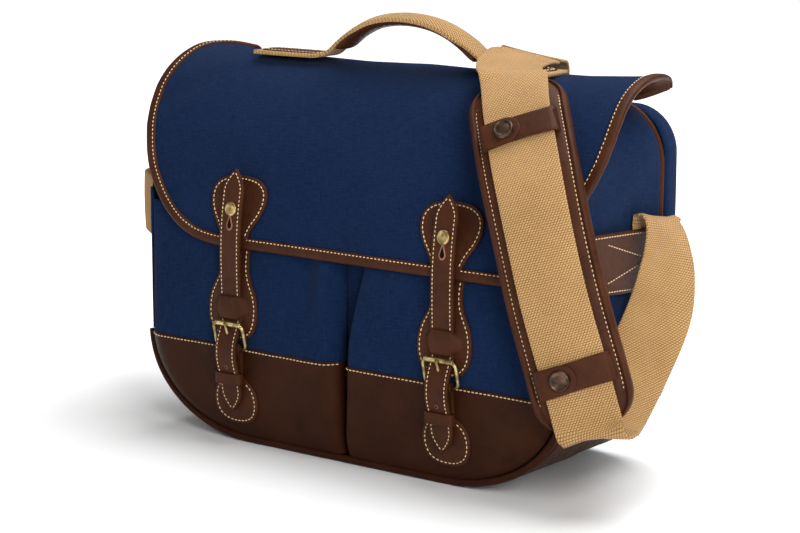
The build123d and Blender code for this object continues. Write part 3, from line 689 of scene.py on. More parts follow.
# ---- rear pocket and zip
REAR_TOP, REAR_SHOULDER, REAR_WIDER = 284, 38.0, 0.012
REAR_POINTS = 190  # round the pocket
verts = []
for inset, y in ((2.2, 54), (2.0, 60), (2.0, 66), (2.6, 71), (4.5, 74.6), (8, 76.3), (14, 77.4), (24, 77.8)):
    line = smooth(ring(inset, REAR_TOP, REAR_SHOULDER), 6.0)
    line = np.array([(x * (1 + REAR_WIDER * step_up(z, 60, 200)), y, z) for x, z in line])
    at = np.linspace(0, len(line) - 1, REAR_POINTS)
    last = np.stack([np.interp(at, np.arange(len(line)), column) for column in line.T], axis=1)
    verts += list(last)
for share in (0.2, 0.4, 0.6, 0.8):
    row = last + (np.array([0, 77.0, 150]) - last) * share
    row[:, 1] = 77.0 - 1.6 * sin(share * pi / 2)
    verts += list(row)
verts = [Vector(v) for v in verts]
for v in verts:
    if v.y > 70:
        v.y += 0.5 * wobble(v, 45, 7)
faces = [(a, d, c, b) for a, b, c, d in skin(12, REAR_POINTS, True)]
centre, last = 12 * REAR_POINTS, 11 * REAR_POINTS
verts.append(Vector((0, 75.3, 150)))
faces += [(last + (j + 1) % REAR_POINTS, last + j, centre) for j in range(REAR_POINTS)]
piece = build("rear_pocket_shell", verts, faces, NAVY, [(v.x + v.y, v.z) for v in verts])
place(refine(piece, 2, -1, False), "bag_body", "back_pocket")

ZIP_Z = 250.0
TOOTH = [(-0.75, -0.4, -1.7), (0.75, -0.4, -1.7), (0.75, -0.4, 1.7), (-0.75, -0.4, 1.7),
         (-0.5, 0.7, -1.35), (0.5, 0.7, -1.35), (0.5, 0.7, 1.35), (-0.5, 0.7, 1.35)]
TOOTH_FACES = ((3, 2, 1, 0), (4, 5, 6, 7), (0, 1, 5, 4), (1, 2, 6, 5), (2, 3, 7, 6), (3, 0, 4, 7))
tape = []
for low, high in ((238, 249.2), (250.8, 262)):
    rows = [[(x, 77.6, z) for x in np.linspace(-152, 152, 40)] for z in np.linspace(low, high, 5)]
    tape.append(grid("zip_tape_part", rows, DARK, 1.2))
place(join("zip_facing", tape), "bag_body")
seams = [[(x, z) for x in np.linspace(-150, 150, 60)] for z in (240.2, 259.8)]
seams += [[(x, z) for z in np.linspace(240.2, 259.8, 8)] for x in (-150, 150)]
place(stitches("zip_facing_thread", [[((x, 78.3, z), (0, 1, 0)) for x, z in seam] for seam in seams]), "bag_body")
verts, faces = [], []
for i in range(136):
    foot = Vector((-148.5 + i * 2.2, 77.3, ZIP_Z + (0.55 if i % 2 else -0.55)))
    faces += [tuple(len(verts) + q for q in f) for f in TOOTH_FACES]
    verts += [foot + Vector(q) for q in TOOTH]
place(build("zip_teeth", verts, faces, BRASS), "bag_body", "zip_chain")

# ---- flap
# the flap's side edges as (depth, reach): they flare at the top and end in a pointed ear at the back
EDGE = {
    1: [(50, 212), (47, 213.5), (35, 215.5), (25, 217.5), (13, 219.5), (0, 221), (-16, 222), (-31, 223), (-40, 224),
        (-50, 224.5), (-60, 223), (-66, 219.5), (-71, 214.5), (-75.7, 209.5), (-79, 206), (-82.3, 203), (-88, 203)],
    -1: [(50, 190), (45, 196), (35, 205), (25, 212), (13, 217), (0, 220), (-16, 222.5), (-31, 224.5), (-43, 225),
         (-54, 223.5), (-63, 219), (-70, 213.5), (-74, 210), (-77.3, 206.5), (-80.7, 203), (-88, 201)],
}
# the rounded lower corners as (height above the front edge, reach)
CORNER = {
    1: [(0, 152), (0.5, 160), (2.2, 170), (5.5, 180.5), (12, 192), (24, 203), (38, 211), (52, 218), (80, 236)],
    -1: [(0, 116), (0.5, 126), (2.2, 138.5), (5.2, 150.5), (12, 165.5), (25, 183), (40, 197), (54, 207.5), (66, 216),
         (90, 236)],
}
CORNER = {sign: smooth(points, 1.0, 2) for sign, points in CORNER.items()}
TOTAL = len(FLAP_LINE) - 1
SOFTNESS = 3  # of the turn from a side edge into a corner, in mm


def flap_line_at(s):
    """The profile's point at a share of the flap's length, and the index before it."""
    i = min(int(s * TOTAL), TOTAL - 1)
    return FLAP_LINE[i] + (FLAP_LINE[i + 1] - FLAP_LINE[i]) * (s * TOTAL - i), i


def flap_reach(sign, s):
    """How far the flap reaches to one side at a share of its length."""
    (y, z), _ = flap_line_at(s)
    side = float(np.interp(-y, [-a for a, _ in EDGE[sign]], [b for _, b in EDGE[sign]]))
    if y > -60:
        return side
    low = float(np.interp(z - FLAP_LINE[-1][1], CORNER[sign][:, 0], CORNER[sign][:, 1]))
    if abs(side - low) >= 60:
        return min(side, low)
    return side + low - log(exp(side / SOFTNESS) + exp(low / SOFTNESS)) * SOFTNESS


def flap_relief(x, s):
    """How far the canvas stands out from the plain profile. s runs from the back (0) to the front edge (1)."""
    dip = -1.3 * hump(x, 0, 70) * hump(s, 0.3, 0.12)
    crease = -1.1 * hump((x + 150) * 0.35 + (s - 0.36) * 150, 0, 9) * step_up(-x, 90, 130)
    soft = 1.5 * wobble((x, s * 240, 0), 62, 3.3) + 0.5 * wobble((x, s * 240, 0), 24, 8.8)
    calm = step_up(1 - s, 0.0, 0.12) * step_up(s, 0.0, 0.08)
    ripple = 0.9 * sin(x / 33.0) * step_up(s, 0.7, 1.0)
    return (dip + crease + soft) * calm + ripple - 0.4


def flap_point(x, s, lift=0.0):
    """A point on the flap's outer face."""
    (y, z), i = flap_line_at(s)
    dy, dz = FLAP_LINE[min(i + 2, TOTAL)] - FLAP_LINE[max(i - 1, 0)]
    n = Vector((0, dz, -dy)).normalized()
    ear = step_up(abs(x), 150, 214) * step_up(y, -40, 46)
    return Vector((x, y + 3.0 * ear, z + 5.5 * ear)) + n * (flap_relief(x, s) + lift), n


def s_of(z):
    """The share of the flap's length at a height on its front."""
    top = int(np.argmax(FLAP_LINE[:, 1]))
    return float(np.interp(-z, -FLAP_LINE[top:, 1], np.arange(top, len(FLAP_LINE)))) / TOTAL


rows = []
for s in [i / 44 for i in range(40)] + [0.905, 0.925, 0.945, 0.96, 0.97, 0.978, 0.984]:
    low, high = 3 - flap_reach(-1, s), flap_reach(1, s) - 3
    rows.append([flap_point(low + (high - low) * j / 64, s, -0.4)[0] for j in range(65)])
flap_piece = grid("flap_canvas", rows, NAVY, 1.6, 1)
place(flap_piece, "flap", "flap_panel")

# the leather binding, down one side edge, along the front and up the other
SECTION = [(-0.2, 0.0), (0.0, 1.3), (0.9, 2.3), (2.4, 2.8), (4.6, 2.75), (7.4, 2.45), (8.7, 2.15), (9.2, 1.2),
           (9.2, -1.2), (8.7, -2.0), (7.4, -2.2), (4.6, -2.4), (2.4, -2.4), (0.9, -2.0), (0.0, -1.2)]
TAPER = (0.3, 0.5, 0.68, 0.83, 0.94, 1.0)
half_edge = [i / 120 for i in range(114)] + [0.95 + i / 800 for i in range(41)]
path = [(-flap_reach(-1, t), t) for t in half_edge]
path += [(x, 1.0) for x in np.linspace(4 - flap_reach(-1, 1), flap_reach(1, 1) - 4, 68)]
path += [(flap_reach(1, t), t) for t in reversed(half_edge)]
placed = [flap_point(x, s, -1.1) for x, s in path]
placed = smooth([(*p, *n) for p, n in placed], 3.0, 3)
centres = [Vector(q[:3]) for q in placed]
count = len(centres)
wides = []
for i, q in enumerate(placed):
    a = (centres[min(i + 1, count - 1)] - centres[max(i - 1, 0)]).normalized()
    wides.append(Vector(q[3:]).normalized().cross(a))
middle = count // 2
toward = 1 if (Vector((0, 0, 230)) - centres[middle]).dot(wides[middle]) > 0 else -1
sections = []
for i in range(count):
    size = TAPER[min(i, count - 1 - i, len(TAPER) - 1)]
    sections.append([(x * toward * size, y * size) for x, y in SECTION])
piece = sweep("flap_binding_roll", centres, wides, sections, BROWN)
place(refine(piece), "flap", "flap_binding")
seams = []
for height, face in ((2.3, 1), (-2.2, -1)):
    seams.append([(c + w * (7.3 * toward) + n * height, n * face)
                  for c, (_, w, n) in list(zip(centres, frames(centres, wides)))[5:-5]])
place(stitches("flap_binding_thread", seams), "flap")

# the canvas carries on from the flap down behind the back wall
HINGE_LINE = [(52.6, 262), (52.9, 272), (53.0, 281), (52.4, 286.5), (49.5, 289.6), (43, 290.6), (35, 291.0)]
rows = []
for y, z in smooth(HINGE_LINE, 2.0, 2):
    half = 150 + 26 * step_up(z, 280, 290)
    rows.append([Vector((-half + 2 * half * j / 60, y, z + 0.4 * wobble((j * 6, y, z), 30, 9))) for j in range(61)])
place(grid("flap_hinge_canvas", rows, NAVY, 1.4), "bag_body", bend=("flap", (0, 53, 282), (0, 44, 292)))

# leather facings under the flap's back corners, which show where the ears turn up
for side, sign in SIDES.items():
    rows = []
    for k in range(29):
        t = 0.30 * k / 28
        edge = flap_reach(sign, t) - 1.0
        deep = 15.0 * (1 - k / 28) ** 1.5
        rows.append([flap_point(sign * (edge - 24 * j / 10), t, -2.2 - deep * sin(pi * j / 20))[0]
                     for j in range(11)][::sign])
    place(grid(f"flap_ear_facing_{side}", rows, BROWN, 1.0), "flap")

# ---- leather patches that follow a surface


def patch(name, outline, surface, thick):
    """A leather patch cut to an outline of (x, z), laid on surface(x, z) -> (point, outward), and its seam line."""
    verts, flow = [], []
    outline = smooth(list(outline) + [outline[0]], 1.6, 2)[:-1]
    n = len(outline)
    area = sum(outline[i][0] * outline[(i + 1) % n][1] - outline[(i + 1) % n][0] * outline[i][1] for i in range(n))
    turn = 1 if area > 0 else -1
    inwards = []
    for i in range(n):
        d = outline[(i + 1) % n] - outline[i - 1]
        d /= max(1e-6, np.linalg.norm(d))
        inwards.append(np.array([-d[1], d[0]]) * turn)
    inwards = np.array(inwards)
    middle = outline.mean(axis=0)
    layers = [(outline, -0.3), (outline, thick * 0.55), (outline + inwards * 0.36, thick * 0.92)]
    rim = outline + inwards * 0.96
    layers += [(rim + (middle - rim) * share, thick) for share in (0.0, 0.1, 0.22, 0.36, 0.5, 0.64, 0.78, 0.9)]
    layers += [([middle], thick), ([middle], -0.3)]
    for points, height in layers:
        for x, z in points:
            p, out = surface(x, z)
            verts.append(p + out * height)
            flow.append((x, z))
    low = len(verts) - 1
    last = (len(layers) - 3) * n
    faces = skin(len(layers) - 2, n, True)
    for j in range(n):
        k = (j + 1) % n
        faces += [(last + j, last + k, low - 1), (k, j, low)]
    line = []
    for i in list(range(n)) + [0]:
        x, z = outline[i] + inwards[i] * 2.6
        p, out = surface(x, z)
        line.append((p + out * (thick + 0.05), out))
    return build(name, verts, [face[::turn] for face in faces], BROWN, flow), line


def open_seam(name, line, limit, sign):
    """A patch's seam, sewn only where it is above the limit height for sign 1, or below it for -1."""
    line = line[:-1]
    first = min(range(len(line)), key=lambda i: sign * line[i][0].z)
    return stitches(name, [[q for q in line[first:] + line[:first] if sign * (q[0].z - limit) > 0]])


def on_flap(x, z):
    return flap_point(x, s_of(z), 0.0)


def on_pocket(x, z):
    sign = 1 if x > 0 else -1
    reach = reach_at(z, EDGE_INSET)
    start = pocket_start(sign, z)
    s = (abs(x) - start) / (reach - start)
    lift = 0.9 if z < 81 else 0.0
    p = pocket_point(sign, s, z, lift)
    dx = pocket_point(sign, s + 0.01, z, lift) - pocket_point(sign, s - 0.01, z, lift)
    dz = pocket_point(sign, s, z + 1.5, lift) - pocket_point(sign, s, z - 1.5, lift)
    n = dx.cross(dz).normalized()
    if n.y > 0:
        n = -n
    return p, n


def table(x, pairs):
    """A closed symmetrical outline from (z, half width) pairs."""
    return [(x + w, z) for z, w in pairs] + [(x - w, z) for z, w in reversed(pairs) if w > 0.5]


UPPER = [(165.4, 13.2), (171, 14.4), (178, 18), (186, 23.6), (194, 27.3), (201, 28.4), (207, 27.2), (212, 23.2),
         (215.5, 16.5), (217, 8), (217.3, 0)]
LOWER = [(176, 13.6), (160, 13.6), (150, 13.8), (141, 15.2), (133, 18.6), (125, 22.8), (117, 24.9), (109, 25.2),
         (101, 24.2), (94, 21), (89, 15), (87, 8), (86.6, 0)]
ROUND = [(56, 9), (53, 14), (49, 18.2), (43, 21), (36, 22), (29, 21), (22.5, 17.4), (18.6, 11), (17.2, 5), (17.0, 0)]
# lines in the straps' own plane, as (depth, height)
CHAPE = [(pocket_y(52) - 2.6, 52), (-90.6, 66), (-91.2, 74), (-94.2, 80.4), (-92.4, 83.4), (-89.9, 80), (-89.4, 70),
         (-89.2, 56)]
STRAP = [(-82.6, 223.5), (-85.0, 214), (-87.6, 202), (-89.6, 190), (-91.6, 172), (-92.2, 152), (-92.0, 132),
         (-91.4, 118), (-90.9, 111), (-91.2, 103), (-94.2, 95.5), (-97.4, 88), (-99.2, 79), (-98.6, 70), (-95.6, 60),
         (-93.2, 50), (-91.6, 38), (-90.2, 28)]
STRAP_STEP, STRAP_HALF = 1.5, 10.4
STUD_Z, KEEPER_Z = 192.0, 56.0
STUD = [(0.6, 2.0), (1.2, 3.8), (2.0, 3.8), (2.4, 2.2), (5.2, 2.2), (5.8, 3.2), (6.3, 5.2), (7.0, 5.7), (9.6, 5.7),
        (10.3, 5.3), (10.6, 4.3), (10.4, 3.6), (10.5, 0.4)]
ROLLER = ((-13.5, 1.6), (-13.2, 2.0), (-12.6, 2.15), (0, 2.15), (12.6, 2.15), (13.2, 2.0), (13.5, 1.6))
HOLES = ((179.5, 2.5, 3.2, 4.6), (66, 1.2, 1.2, 0.0))  # height, half width, half height, length of the tear
# label, outer and inner size in shares of the hole's, height, depth and material; the second entry is a closed
# near-black disc of painted shade inside the hole
HOLE_PARTS = (("hole_rims", 1.3, 1.0, 0.25, 0.5, PALE), ("hole_shades", 0.82, 0.0, 0.42, 0.4, HOLE_SHADE))


def strap_half(run):
    """Half a closure strap's width at a distance from its nearer end."""
    return STRAP_HALF * (1 - (1 - min(1, run / 17.0)) ** 1.7)


def oval(angle, x_power, z_power):
    """A point of a superellipse."""
    a, b = cos(angle), sin(angle)
    return copysign(abs(a) ** x_power, a), copysign(abs(b) ** z_power, b)


for side, x in CLOSURE_X.items():
    swing = (f"closure_{side}", (x, -104, 122), (x, -104, 150))
    piece, line = patch(f"flap_patch_leather_{side}", table(x, UPPER), on_flap, 2.0)
    place(piece, "flap", f"flap_patch_{side}")
    place(open_seam(f"flap_patch_thread_{side}", line, 169.5, 1), "flap")

    piece, line = patch(f"guide_leather_{side}", table(x, LOWER), on_pocket, 2.0)
    rows = []
    for k in range(13):
        z = 104.5 + 18.5 * k / 12
        off = abs(k - 6) / 6
        spread = 9.6 + 9.4 * (1 - off**2.2) + 1.2
        row = []
        for px in [x - 19 + 38 * j / 40 for j in range(41)]:
            p, out = on_pocket(px, z)
            row.append(p + out * (1.3 + 5.8 * (1 - step_up(abs(px - x), 8.4, spread)) - 0.4 * off**4))
        rows.append(row)
    piece = join(f"guide_leather_{side}", [piece, grid("guide_bridge", rows, BROWN, 1.7, -1)])
    place(piece, "bag_body", f"strap_guide_{side}")
    place(open_seam(f"guide_thread_{side}", line, 168, -1), "bag_body")

    piece, line = patch(f"chape_leather_{side}", table(x, ROUND), on_pocket, 1.6)
    path = smooth([(x, y, z) for y, z in CHAPE], 1.5)
    piece = join(f"chape_leather_{side}", [piece, sweep("chape_loop", path, (1, 0, 0), slab(9.2, 0.9, 0.5), BROWN)])
    place(piece, "bag_body", f"buckle_chape_{side}")
    place(open_seam(f"chape_thread_{side}", line, 52, -1), "bag_body")

    # closure strap, one piece from its tip on the stud to its tail below the buckle
    centres = smooth([(x, y, z) for y, z in STRAP], STRAP_STEP)
    total = len(centres)
    nears = [min(i, total - 1 - i) * STRAP_STEP for i in range(total)]
    sections = [slab(max(0.5, strap_half(near + 0.3)), 1.55, 0.9, 8) for near in nears]
    piece = sweep(f"closure_strap_leather_{side}", centres, (1, 0, 0), sections, BROWN)
    place(piece, "bag_body", f"closure_strap_{side}", f"closure_tip_{side}", bend=swing)
    dirs = frames(centres, [(1, 0, 0)] * total)
    front = -1 if dirs[total // 2][2].y > 0 else 1
    seams = []
    for sgn in (1, -1):
        seams.append([(Vector(c) + w * (sgn * max(0.2, strap_half(near) - 2.3)) + n * (front * 1.6), n * front)
                      for c, near, (_, w, n) in zip(centres, nears, dirs) if near >= 2.6])
    place(stitches(f"closure_strap_thread_{side}", seams, 3.2, 2.3, 0.85), "bag_body", bend=swing)

    # punched holes with a pale cut edge, each filled with a dark disc of painted shade: a teardrop below the stud and a
    # small round one
    made = {"hole_shades": [], "hole_rims": []}
    for z, wide, tall, tear in HOLES:
        i = min(range(total), key=lambda k: abs(centres[k][2] - z))
        a, w, n = dirs[i]
        c = Vector(centres[i]) + n * (front * 1.5)
        ups = -a if a.z < 0 else a
        outline = []
        for angle in around(24):
            lobe = max(0.0, sin(angle))
            narrow = 1 - 0.45 * lobe**2 * (tear > 0)
            outline.append((wide * cos(angle) * narrow, tall * sin(angle) + tear * lobe**3))
        for label, outer, inner, high, deep, mat in HOLE_PARTS:
            levels = ((outer, -deep), (outer * 0.97, high), (inner, high * (1.0 if inner else 0.9)))
            verts = [c + w * (px * grow) + ups * (py * grow) + n * (front * height)
                     for grow, height in levels for px, py in outline]
            made[label].append(build("hole", verts, skin(3, 24, True, caps=True), mat))
    for label, pieces in made.items():
        place(join(f"closure_strap_{label}_{side}", pieces), "bag_body", bend=swing)

    # strap keeper loop
    path = []
    for angle in around(48):
        a, b = oval(angle, 0.45, 0.6)
        path.append((x + a * 12.2, -95.2 + b * 3.5, KEEPER_Z))
    piece = sweep(f"strap_keeper_leather_{side}", path, (0, 0, 1), slab(4.6, 0.9, 0.6, 4), BROWN, True)
    place(piece, "bag_body", f"strap_keeper_{side}")

    # stud: a turned brass knob
    out = Vector((0, -1, 0.08)).normalized()
    piece = turned(f"stud_brass_{side}", on_flap(x, STUD_Z)[0], out, Vector((1, 0, 0)), STUD, 24, BRASS)
    place(piece, "flap", f"closure_stud_{side}")

    # a roller on the buckle's top bar
    bar = [(x + d, -96.2, 100.5) for d, _ in ROLLER]
    piece = sweep(f"buckle_roller_{side}", bar, (0, 0, 1), [circle(r, 20) for _, r in ROLLER], BRASS)
    place(piece, f"buckle_{side}")
    paint(BRASS, f"buckle_frame_{side}", f"buckle_prong_{side}")

# ---- carry handle
TAIL_Z = 308.4
HANDLE_Y = -1.0
ARCH = [(-144, TAIL_Z), (-120, TAIL_Z), (-95, TAIL_Z + 0.2), (-80, TAIL_Z + 0.6), (-70, 312.0), (-59, 321),
        (-44, 332.5), (-24, 341.5), (0, 345), (24, 343.5), (44, 338), (61, 329), (74, 319), (84, 312),
        (94, TAIL_Z + 0.8), (112, TAIL_Z), (144, TAIL_Z)]
TAIL = [(78, -8), (84, -10.6), (128, -10.8), (138, -8.5), (141, 0), (138, 8.5), (128, 10.8), (84, 10.6), (78, 8),
        (76.5, 0)]
centres = smooth([(x, HANDLE_Y, z) for x, z in ARCH], 3.0)
sections = [slab(13.6 - 3.2 * hump(abs(c[0] - 5), 70, 13), 1.7, 1.3, 10) for c in centres]
piece = sweep("handle_webbing_strap", centres, (0, 1, 0), sections, TAN)
for v in piece.data.vertices:
    across = v.co.y / MM - HANDLE_Y
    v.co.z -= 0.01925 * across * across * step_up(v.co.z / MM, 315, 335) * MM
place(piece, "flap", "handle_webbing", bend=("handle", (0, -1, 309.5), (0, -1, 320)))
under = smooth([(x, HANDLE_Y, z - 4.6) for x, z in ARCH if -66 < x < 76], 3.0)
sections = []
for i in range(len(under)):
    size = (0.5, 0.8, 0.95, 1.0)[min(i, len(under) - 1 - i, 3)]
    sections.append([(12.0 * cos(t), 4.1 * size * sin(t)) for t in around(24)])
place(sweep("handle_grip_leather", under, (0, 1, 0), sections, BROWN), "handle", "handle_grip")


def on_tail(x, y):
    return Vector((x, y + HANDLE_Y, TAIL_Z + 1.2)), Vector((0, 0, 1))


for side, sign in SIDES.items():
    piece, line = patch(f"handle_tail_leather_{side}", [(sign * x, y) for x, y in TAIL], on_tail, 1.3)
    place(piece, "flap", f"handle_tail_{side}")
    place(stitches(f"handle_tail_thread_{side}", [line]), "flap")

# ---- side tabs
TAB = [(-63.5, 149.5), (-61.5, 148.2), (0, 147), (44, 147), (46.6, 148.4), (47, 171), (46.6, 193), (44, 194), (0, 194),
       (-61, 193.2), (-63.5, 192)]
for side, sign in SIDES.items():
    def on_side(y, z, sign=sign):
        """A place on the gusset. The tab leans down to the back and in at the front."""
        return Vector((sign * (208.9 - 0.03 * max(0.0, -40 - y)), y, z + 0.075 * (31 - y))), Vector((sign, 0, 0))

    piece, line = patch(f"side_tab_leather_{side}", TAB, on_side, 2.0)
    place(piece, "bag_body", f"side_tab_{side}")
    chevron = []
    for z in (156.5, 185.5):
        points = [on_side(-34 + 58 * t / 20, z + (171 - z) * t / 20)[0] for t in range(21)]
        chevron.append([(p + Vector((sign * 2.05, 0, 0)), (sign, 0, 0)) for p in points])
    place(stitches(f"side_tab_thread_{side}", [line] + chevron), "bag_body")

# ---- shoulder strap
# the strap's stations as (point, direction across it)
PAD_LINE = [
    ((129, -36, 304), (0.97, 0.22, -0.03)), ((149, -60, 283), (0.98, 0.2, 0)), ((181, -90, 236), (0.96, 0.28, 0)),
    ((205, -96, 164), (0.94, 0.34, 0)), ((224, -94, 105), (0.91, 0.41, 0)), ((233, -91, 72), (0.9, 0.44, 0))]
OVER_TOP = [
    ((102, 26, 318), (0.9, 0.36, -0.2)), ((105, 6, 319), (0.9, 0.38, -0.18)), ((110, -14, 316), (0.93, 0.37, -0.12)),
    ((118, -27, 312), (0.95, 0.32, -0.1))]
FOLD = [
    ((237.2, -96.2, 67), (0.9, 0.44, 0.16)), ((238.4, -93.8, 63.6), (0.9, 0.44, 0.14)),
    ((238.8, -90, 62.2), (0.9, 0.43, 0.12)), ((238.4, -85, 62.4), (0.9, 0.43, 0.08)),
    ((237.2, -79, 63.8), (0.89, 0.45, 0.03)), ((235.5, -72, 66.4), (0.87, 0.47, -0.05))]
OVER_REAR = [
    ((102, 25, 318), (0.9, 0.36, -0.2)), ((100.6, 31, 317.5), (0.9, 0.36, -0.2)), ((96, 43, 315), (0.9, 0.36, -0.2)),
    ((86, 60, 305), (0.93, 0.33, -0.15)), ((75, 75, 292), (0.97, 0.2, -0.1)), ((68.6, 82.6, 284), (0.99, 0.06, -0.12)),
    ((65.6, 84.6, 274), (0.99, 0, -0.15))]
BACK_RUN = [
    ((65.7, 84.6, 275), (0.99, 0, -0.15)), ((63.5, 84.8, 262), (0.99, 0, -0.17)), ((59, 85, 238), (1, 0, -0.2)),
    ((38, 86, 196), (0.85, 0, -0.5)), ((-2, 87, 160), (0.5, 0, -0.85)), ((-54, 88, 142), (0.15, 0, -1)),
    ((-114, 89, 141), (-0.1, 0, -1)), ((-175, 92, 158), (-0.25, 0, -1)), ((-226, 86, 174), (-0.1, 0, -1)),
    ((-256, 52, 178), (0, 0, -1)), ((-264, 12, 178), (0, 0, -1)), ((-260, -14, 178), (0, 0, -1)),
    ((-248.5, -35, 179), (0, 0, -1)), ((-231, -48, 178), (0, 0, -1)), ((-214, -51, 175), (0, 0, -1)),
    ((-207.4, -44, 172), (0, 0, -1)), ((-207.4, 36, 171.5), (0, 0, -1))]
RIGHT_LOOP = [
    ((207.4, 31, 152), (0, 1, 0)), ((207.4, 31, 186), (0, 1, -0.05)), ((209.3, 31, 196.5), (0, 0.98, -0.14)),
    ((214.5, 30, 202.5), (0.02, 0.97, -0.22)), ((221.5, 28, 198), (0.05, 0.97, -0.2)),
    ((227, 24.5, 184), (0.2, 0.95, -0.2)),
    ((231, 18.5, 166), (0.42, 0.88, -0.25)), ((233, 4, 136), (0.7, 0.68, -0.3)),
    ((231.5, -26, 100), (0.78, 0.55, -0.3)), ((233, -56, 76), (0.82, 0.5, -0.2)),
    ((235.5, -72, 66.4), (0.87, 0.47, -0.05)),
    ((236.2, -74.8, 65.3), (0.88, 0.46, -0.02))]
WEB_HALF, WEB_THICK = 25, 1.15
PAD_HALF, OVER_PAD = 37.5, 6.3  # the second is from the pad's middle plane to the webbing on it


def lifted(stations, amount):
    """The same stations, moved out from the strap's face."""
    moved = []
    for i, (c, w) in enumerate(stations):
        a = (Vector(stations[min(i + 1, len(stations) - 1)][0]) - Vector(stations[max(i - 1, 0)][0])).normalized()
        moved.append((tuple(Vector(c) + a.cross(Vector(w)).normalized() * amount), w))
    return moved


def strap_line(stations, step):
    """Even points along stations, and the directions across the strap there."""
    line = smooth([(*c, *w) for c, w in stations], step)
    return [Vector(q[:3]) for q in line], [Vector(q[3:]).normalized() for q in line]


def band(name, stations, cup=0.0):
    """A run of shoulder webbing, cupped by a depth at its edges."""
    section = [(x, y - cup * (x / WEB_HALF) ** 2) for x, y in slab(WEB_HALF, WEB_THICK, WEB_THICK * 0.95, 12)]
    return sweep(name, *strap_line(stations, 4.0), section, TAN)


place(band("strap_webbing_front", OVER_TOP + lifted(PAD_LINE, OVER_PAD) + FOLD, 0.6), "flap", "webbing_front")
place(band("strap_webbing_back", BACK_RUN, -0.8), "bag_body", "webbing_back")
bend = ("flap", (232, -10, 118), (235, -68, 68))
place(band("strap_webbing_right", RIGHT_LOOP), "bag_body", "webbing_loop_right", bend=bend)
bend = ("flap", (67, 84, 281), (102, 26, 318))
place(band("strap_webbing_over_rear", OVER_REAR, 0.6), "bag_body", "webbing_over_rear", bend=bend)

# padded leather shoulder pad
centres, wides = strap_line(PAD_LINE + [((234.6, -90.4, 65.5), (0.9, 0.44, 0))], 2.5)
pad_frames = frames(centres, wides)
run = [0.0]
for a, b in zip(centres, centres[1:]):
    run.append(run[-1] + (b - a).length)
pad_length = run[-1]


def pad_at(t, d, h):
    """A point of the pad: t along it, d across, h out of its middle plane. Also the direction out."""
    t = min(pad_length, max(0.0, t))
    i = min(int(np.searchsorted(run, t, side="right")) - 1, len(run) - 2)
    f = (t - run[i]) / (run[i + 1] - run[i])
    c = centres[i] * (1 - f) + centres[i + 1] * f
    w, n = [(pad_frames[i][k] * (1 - f) + pad_frames[i + 1][k] * f).normalized() for k in (1, 2)]
    return c + w * d + n * (h - 0.0022 * d * d), n


def pad_half(t, inset=0.0):
    """Half the pad's width along it, with round ends."""
    top = min(1.0, max(0.0, (t - inset) / 30.0))
    end = min(1.0, max(0.0, (pad_length - inset - t) / 27.0))
    top = sqrt(max(0.0, 1 - (1 - top) ** 2.6)) ** 0.9
    return (PAD_HALF - inset) * top * sqrt(max(0.0, 1 - (1 - end) ** 2.4))


PAD_STATIONS = [0.0, 0.3, 1.2, 2.8, 5.0, 8.0, 12.0, 17.0, 23.0, 30.0] + list(np.linspace(37, pad_length - 44, 40))
PAD_STATIONS += [pad_length - d for d in (38, 31, 24, 18, 12.5, 8.5, 5.2, 2.8, 1.2, 0.3, 0.0)]
# the pad's section as (share of its half width, height), with a raised edge roll
profile = [(-1.0, 0.0), (-0.995, 1.6), (-0.97, 3.4), (-0.935, 4.6), (-0.895, 4.7), (-0.865, 3.5), (-0.85, 2.6),
           (-0.83, 3.3), (-0.78, 4.1), (-0.6, 4.2), (-0.3, 4.2)]
profile += [(0.0, 4.2)] + [(-a, b) for a, b in reversed(profile)]
profile += [(-a, -abs(b) * 0.8) for a, b in profile[1:-1]]
verts, flow = [], []
for t in PAD_STATIONS:
    half = max(0.6, pad_half(t))
    rise = 0.35 + 0.65 * step_up(min(t, pad_length - t), 0, 4.0)
    for a, b in profile:
        verts.append(pad_at(t, a * half, b * rise)[0])
        flow.append((a * half, t))
faces = skin(len(PAD_STATIONS), len(profile), True, caps=True)
piece = refine(build("shoulder_pad_leather", verts, faces, BROWN, flow))
place(piece, "flap", "shoulder_pad")
seams = []
for sgn in (-1, 1):
    seams.append([(pad_at(t, sgn * pad_half(t, 6.3), 3.0)[0], pad_at(t, 0, 0)[1])
                  for t in np.linspace(7.0, pad_length - 7.0, 160)])
place(stitches("shoulder_pad_thread", seams, 3.4, 2.4, 0.9), "flap")

# keepers on the pad with their snaps
PAD_KEEPERS = {"upper": 56.0, "lower": 238.5}  # distance along the pad
SNAP = [(-0.4, 8.0), (0.4, 8.0), (1.0, 7.7), (1.5, 7.4), (2.3, 7.3), (2.8, 6.9), (2.9, 6.4), (2.5, 6.0), (2.3, 5.6),
        (2.6, 4.0), (2.75, 2.0), (2.8, 0.3)]


def keeper_layer(name, at, along, first, last, high, halves):
    """A leather layer across the pad that dips into it at both ends."""
    path = []
    for j in range(len(halves)):
        d = first + (last - first) * j / (len(halves) - 1)
        tuck = 3.6 * step_up(abs(d + 0.5), 25.0, 29.5) ** 1.4
        path.append(pad_at(at - 0.05 * d, d, high - tuck)[0])
    return sweep(name, path, tuple(along), [slab(half, 0.9, 0.7, 6) for half in halves], BROWN)


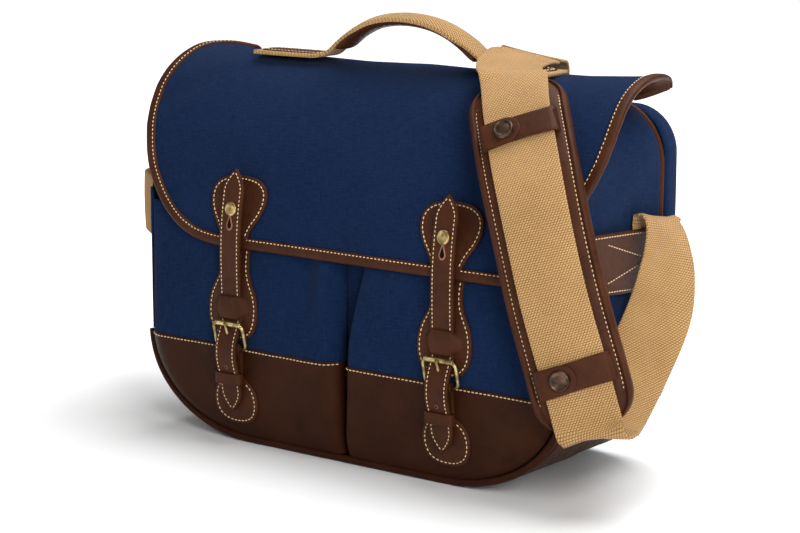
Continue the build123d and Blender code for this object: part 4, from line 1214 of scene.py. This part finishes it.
for name, at in PAD_KEEPERS.items():
    along, across, _ = pad_frames[int(np.searchsorted(run, at))]
    halves = [11.0 - 0.5 * sin(pi * j / 32) for j in range(33)]
    under = keeper_layer(f"pad_keeper_leather_{name}", at, along, -29.0, 28.6, 9.5, halves)
    halves = [max(0.8, 10.9 * sqrt(max(0.0, 1 - max(0.0, (j - 15) / 9.0) ** 2.2))) for j in range(25)]
    upper = keeper_layer("pad_keeper_end", at, along, -28.6, 1.6, 11.3, halves)
    place(join(f"pad_keeper_leather_{name}", [under, upper]), f"keeper_{name}", f"pad_keeper_{name}")
    p, n = pad_at(at + 0.5, -10.5, 12.2)
    snap = turned(f"pad_snap_bronze_{name}", p, n, across, SNAP, 36, BRONZE)
    place(snap, f"keeper_{name}", f"pad_snap_{name}")
paint(BROWN, "pad_keeper_anchors")
paint(BRASS, "zip_slider", "zip_puller")

# ---- floor and light
look = Look("floor", 0.9, specular_ior_level=0.0)
look.colour(look.mix(look.cloud(3, 2), (0.87, 0.87, 0.87), (0.9, 0.9, 0.9)))
distance = look.tree.nodes.new("ShaderNodeVectorMath")
distance.operation = "LENGTH"
look.tree.links.new(look.place(), distance.inputs[0])
# painted light: the floor glows, not at all within 0.3 m of the bag and up to strength 0.9 beyond 1.1 m, so it turns
# whiter further out
look.shader.inputs["Emission Color"].default_value = (1, 1, 1, 1)
look.put(look.shader.inputs["Emission Strength"], look.span(distance.outputs["Value"], 0.3, 1.1, 0.0, 0.9))
FLOOR_HALF, FLOOR_Z = 6000, -0.3
corners = [(FLOOR_HALF * x, FLOOR_HALF * y, FLOOR_Z) for x, y in ((-1, -1), (1, -1), (1, 1), (-1, 1))]
floor = build("floor", corners, [(0, 1, 2, 3)], look.mat)


def softbox(name, place_at, aim, size, power, tint=(1, 1, 1)):
    data = bpy.data.lights.new(name, "AREA")
    data.shape = "RECTANGLE"
    data.size, data.size_y = size
    data.energy = power
    data.color = tint
    lamp = bpy.data.objects.new(name, data)
    lamp.location = place_at
    lamp.rotation_euler = (Vector(aim) - Vector(place_at)).to_track_quat("-Z", "Y").to_euler()
    scene.collection.objects.link(lamp)


softbox("overhead", (0.3, 0.5, 1.9), (0, 0, 0.15), (2.0, 1.4), 56)
softbox("front_left", (-1.5, -1.4, 1.2), (0, 0, 0.15), (0.8, 1.2), 6, (1, 0.985, 0.96))
softbox("front_right", (1.6, -1.2, 0.9), (0.1, 0, 0.15), (0.7, 1.1), 31)
world = bpy.data.worlds.new("studio")
world.use_nodes = True
tree = world.node_tree
soft = tree.nodes["Background"]
plain = tree.nodes.new("ShaderNodeBackground")
for node, strength in ((soft, 0.20), (plain, 1.0)):
    node.inputs[0].default_value = (1, 1, 1, 1)
    node.inputs[1].default_value = strength
seen = tree.nodes.new("ShaderNodeLightPath")
either = tree.nodes.new("ShaderNodeMixShader")
tree.links.new(seen.outputs["Is Camera Ray"], either.inputs[0])
tree.links.new(soft.outputs[0], either.inputs[1])
tree.links.new(plain.outputs[0], either.inputs[2])
tree.links.new(either.outputs[0], tree.nodes["World Output"].inputs[0])
scene.world = world
scene.view_settings.view_transform = "Standard"
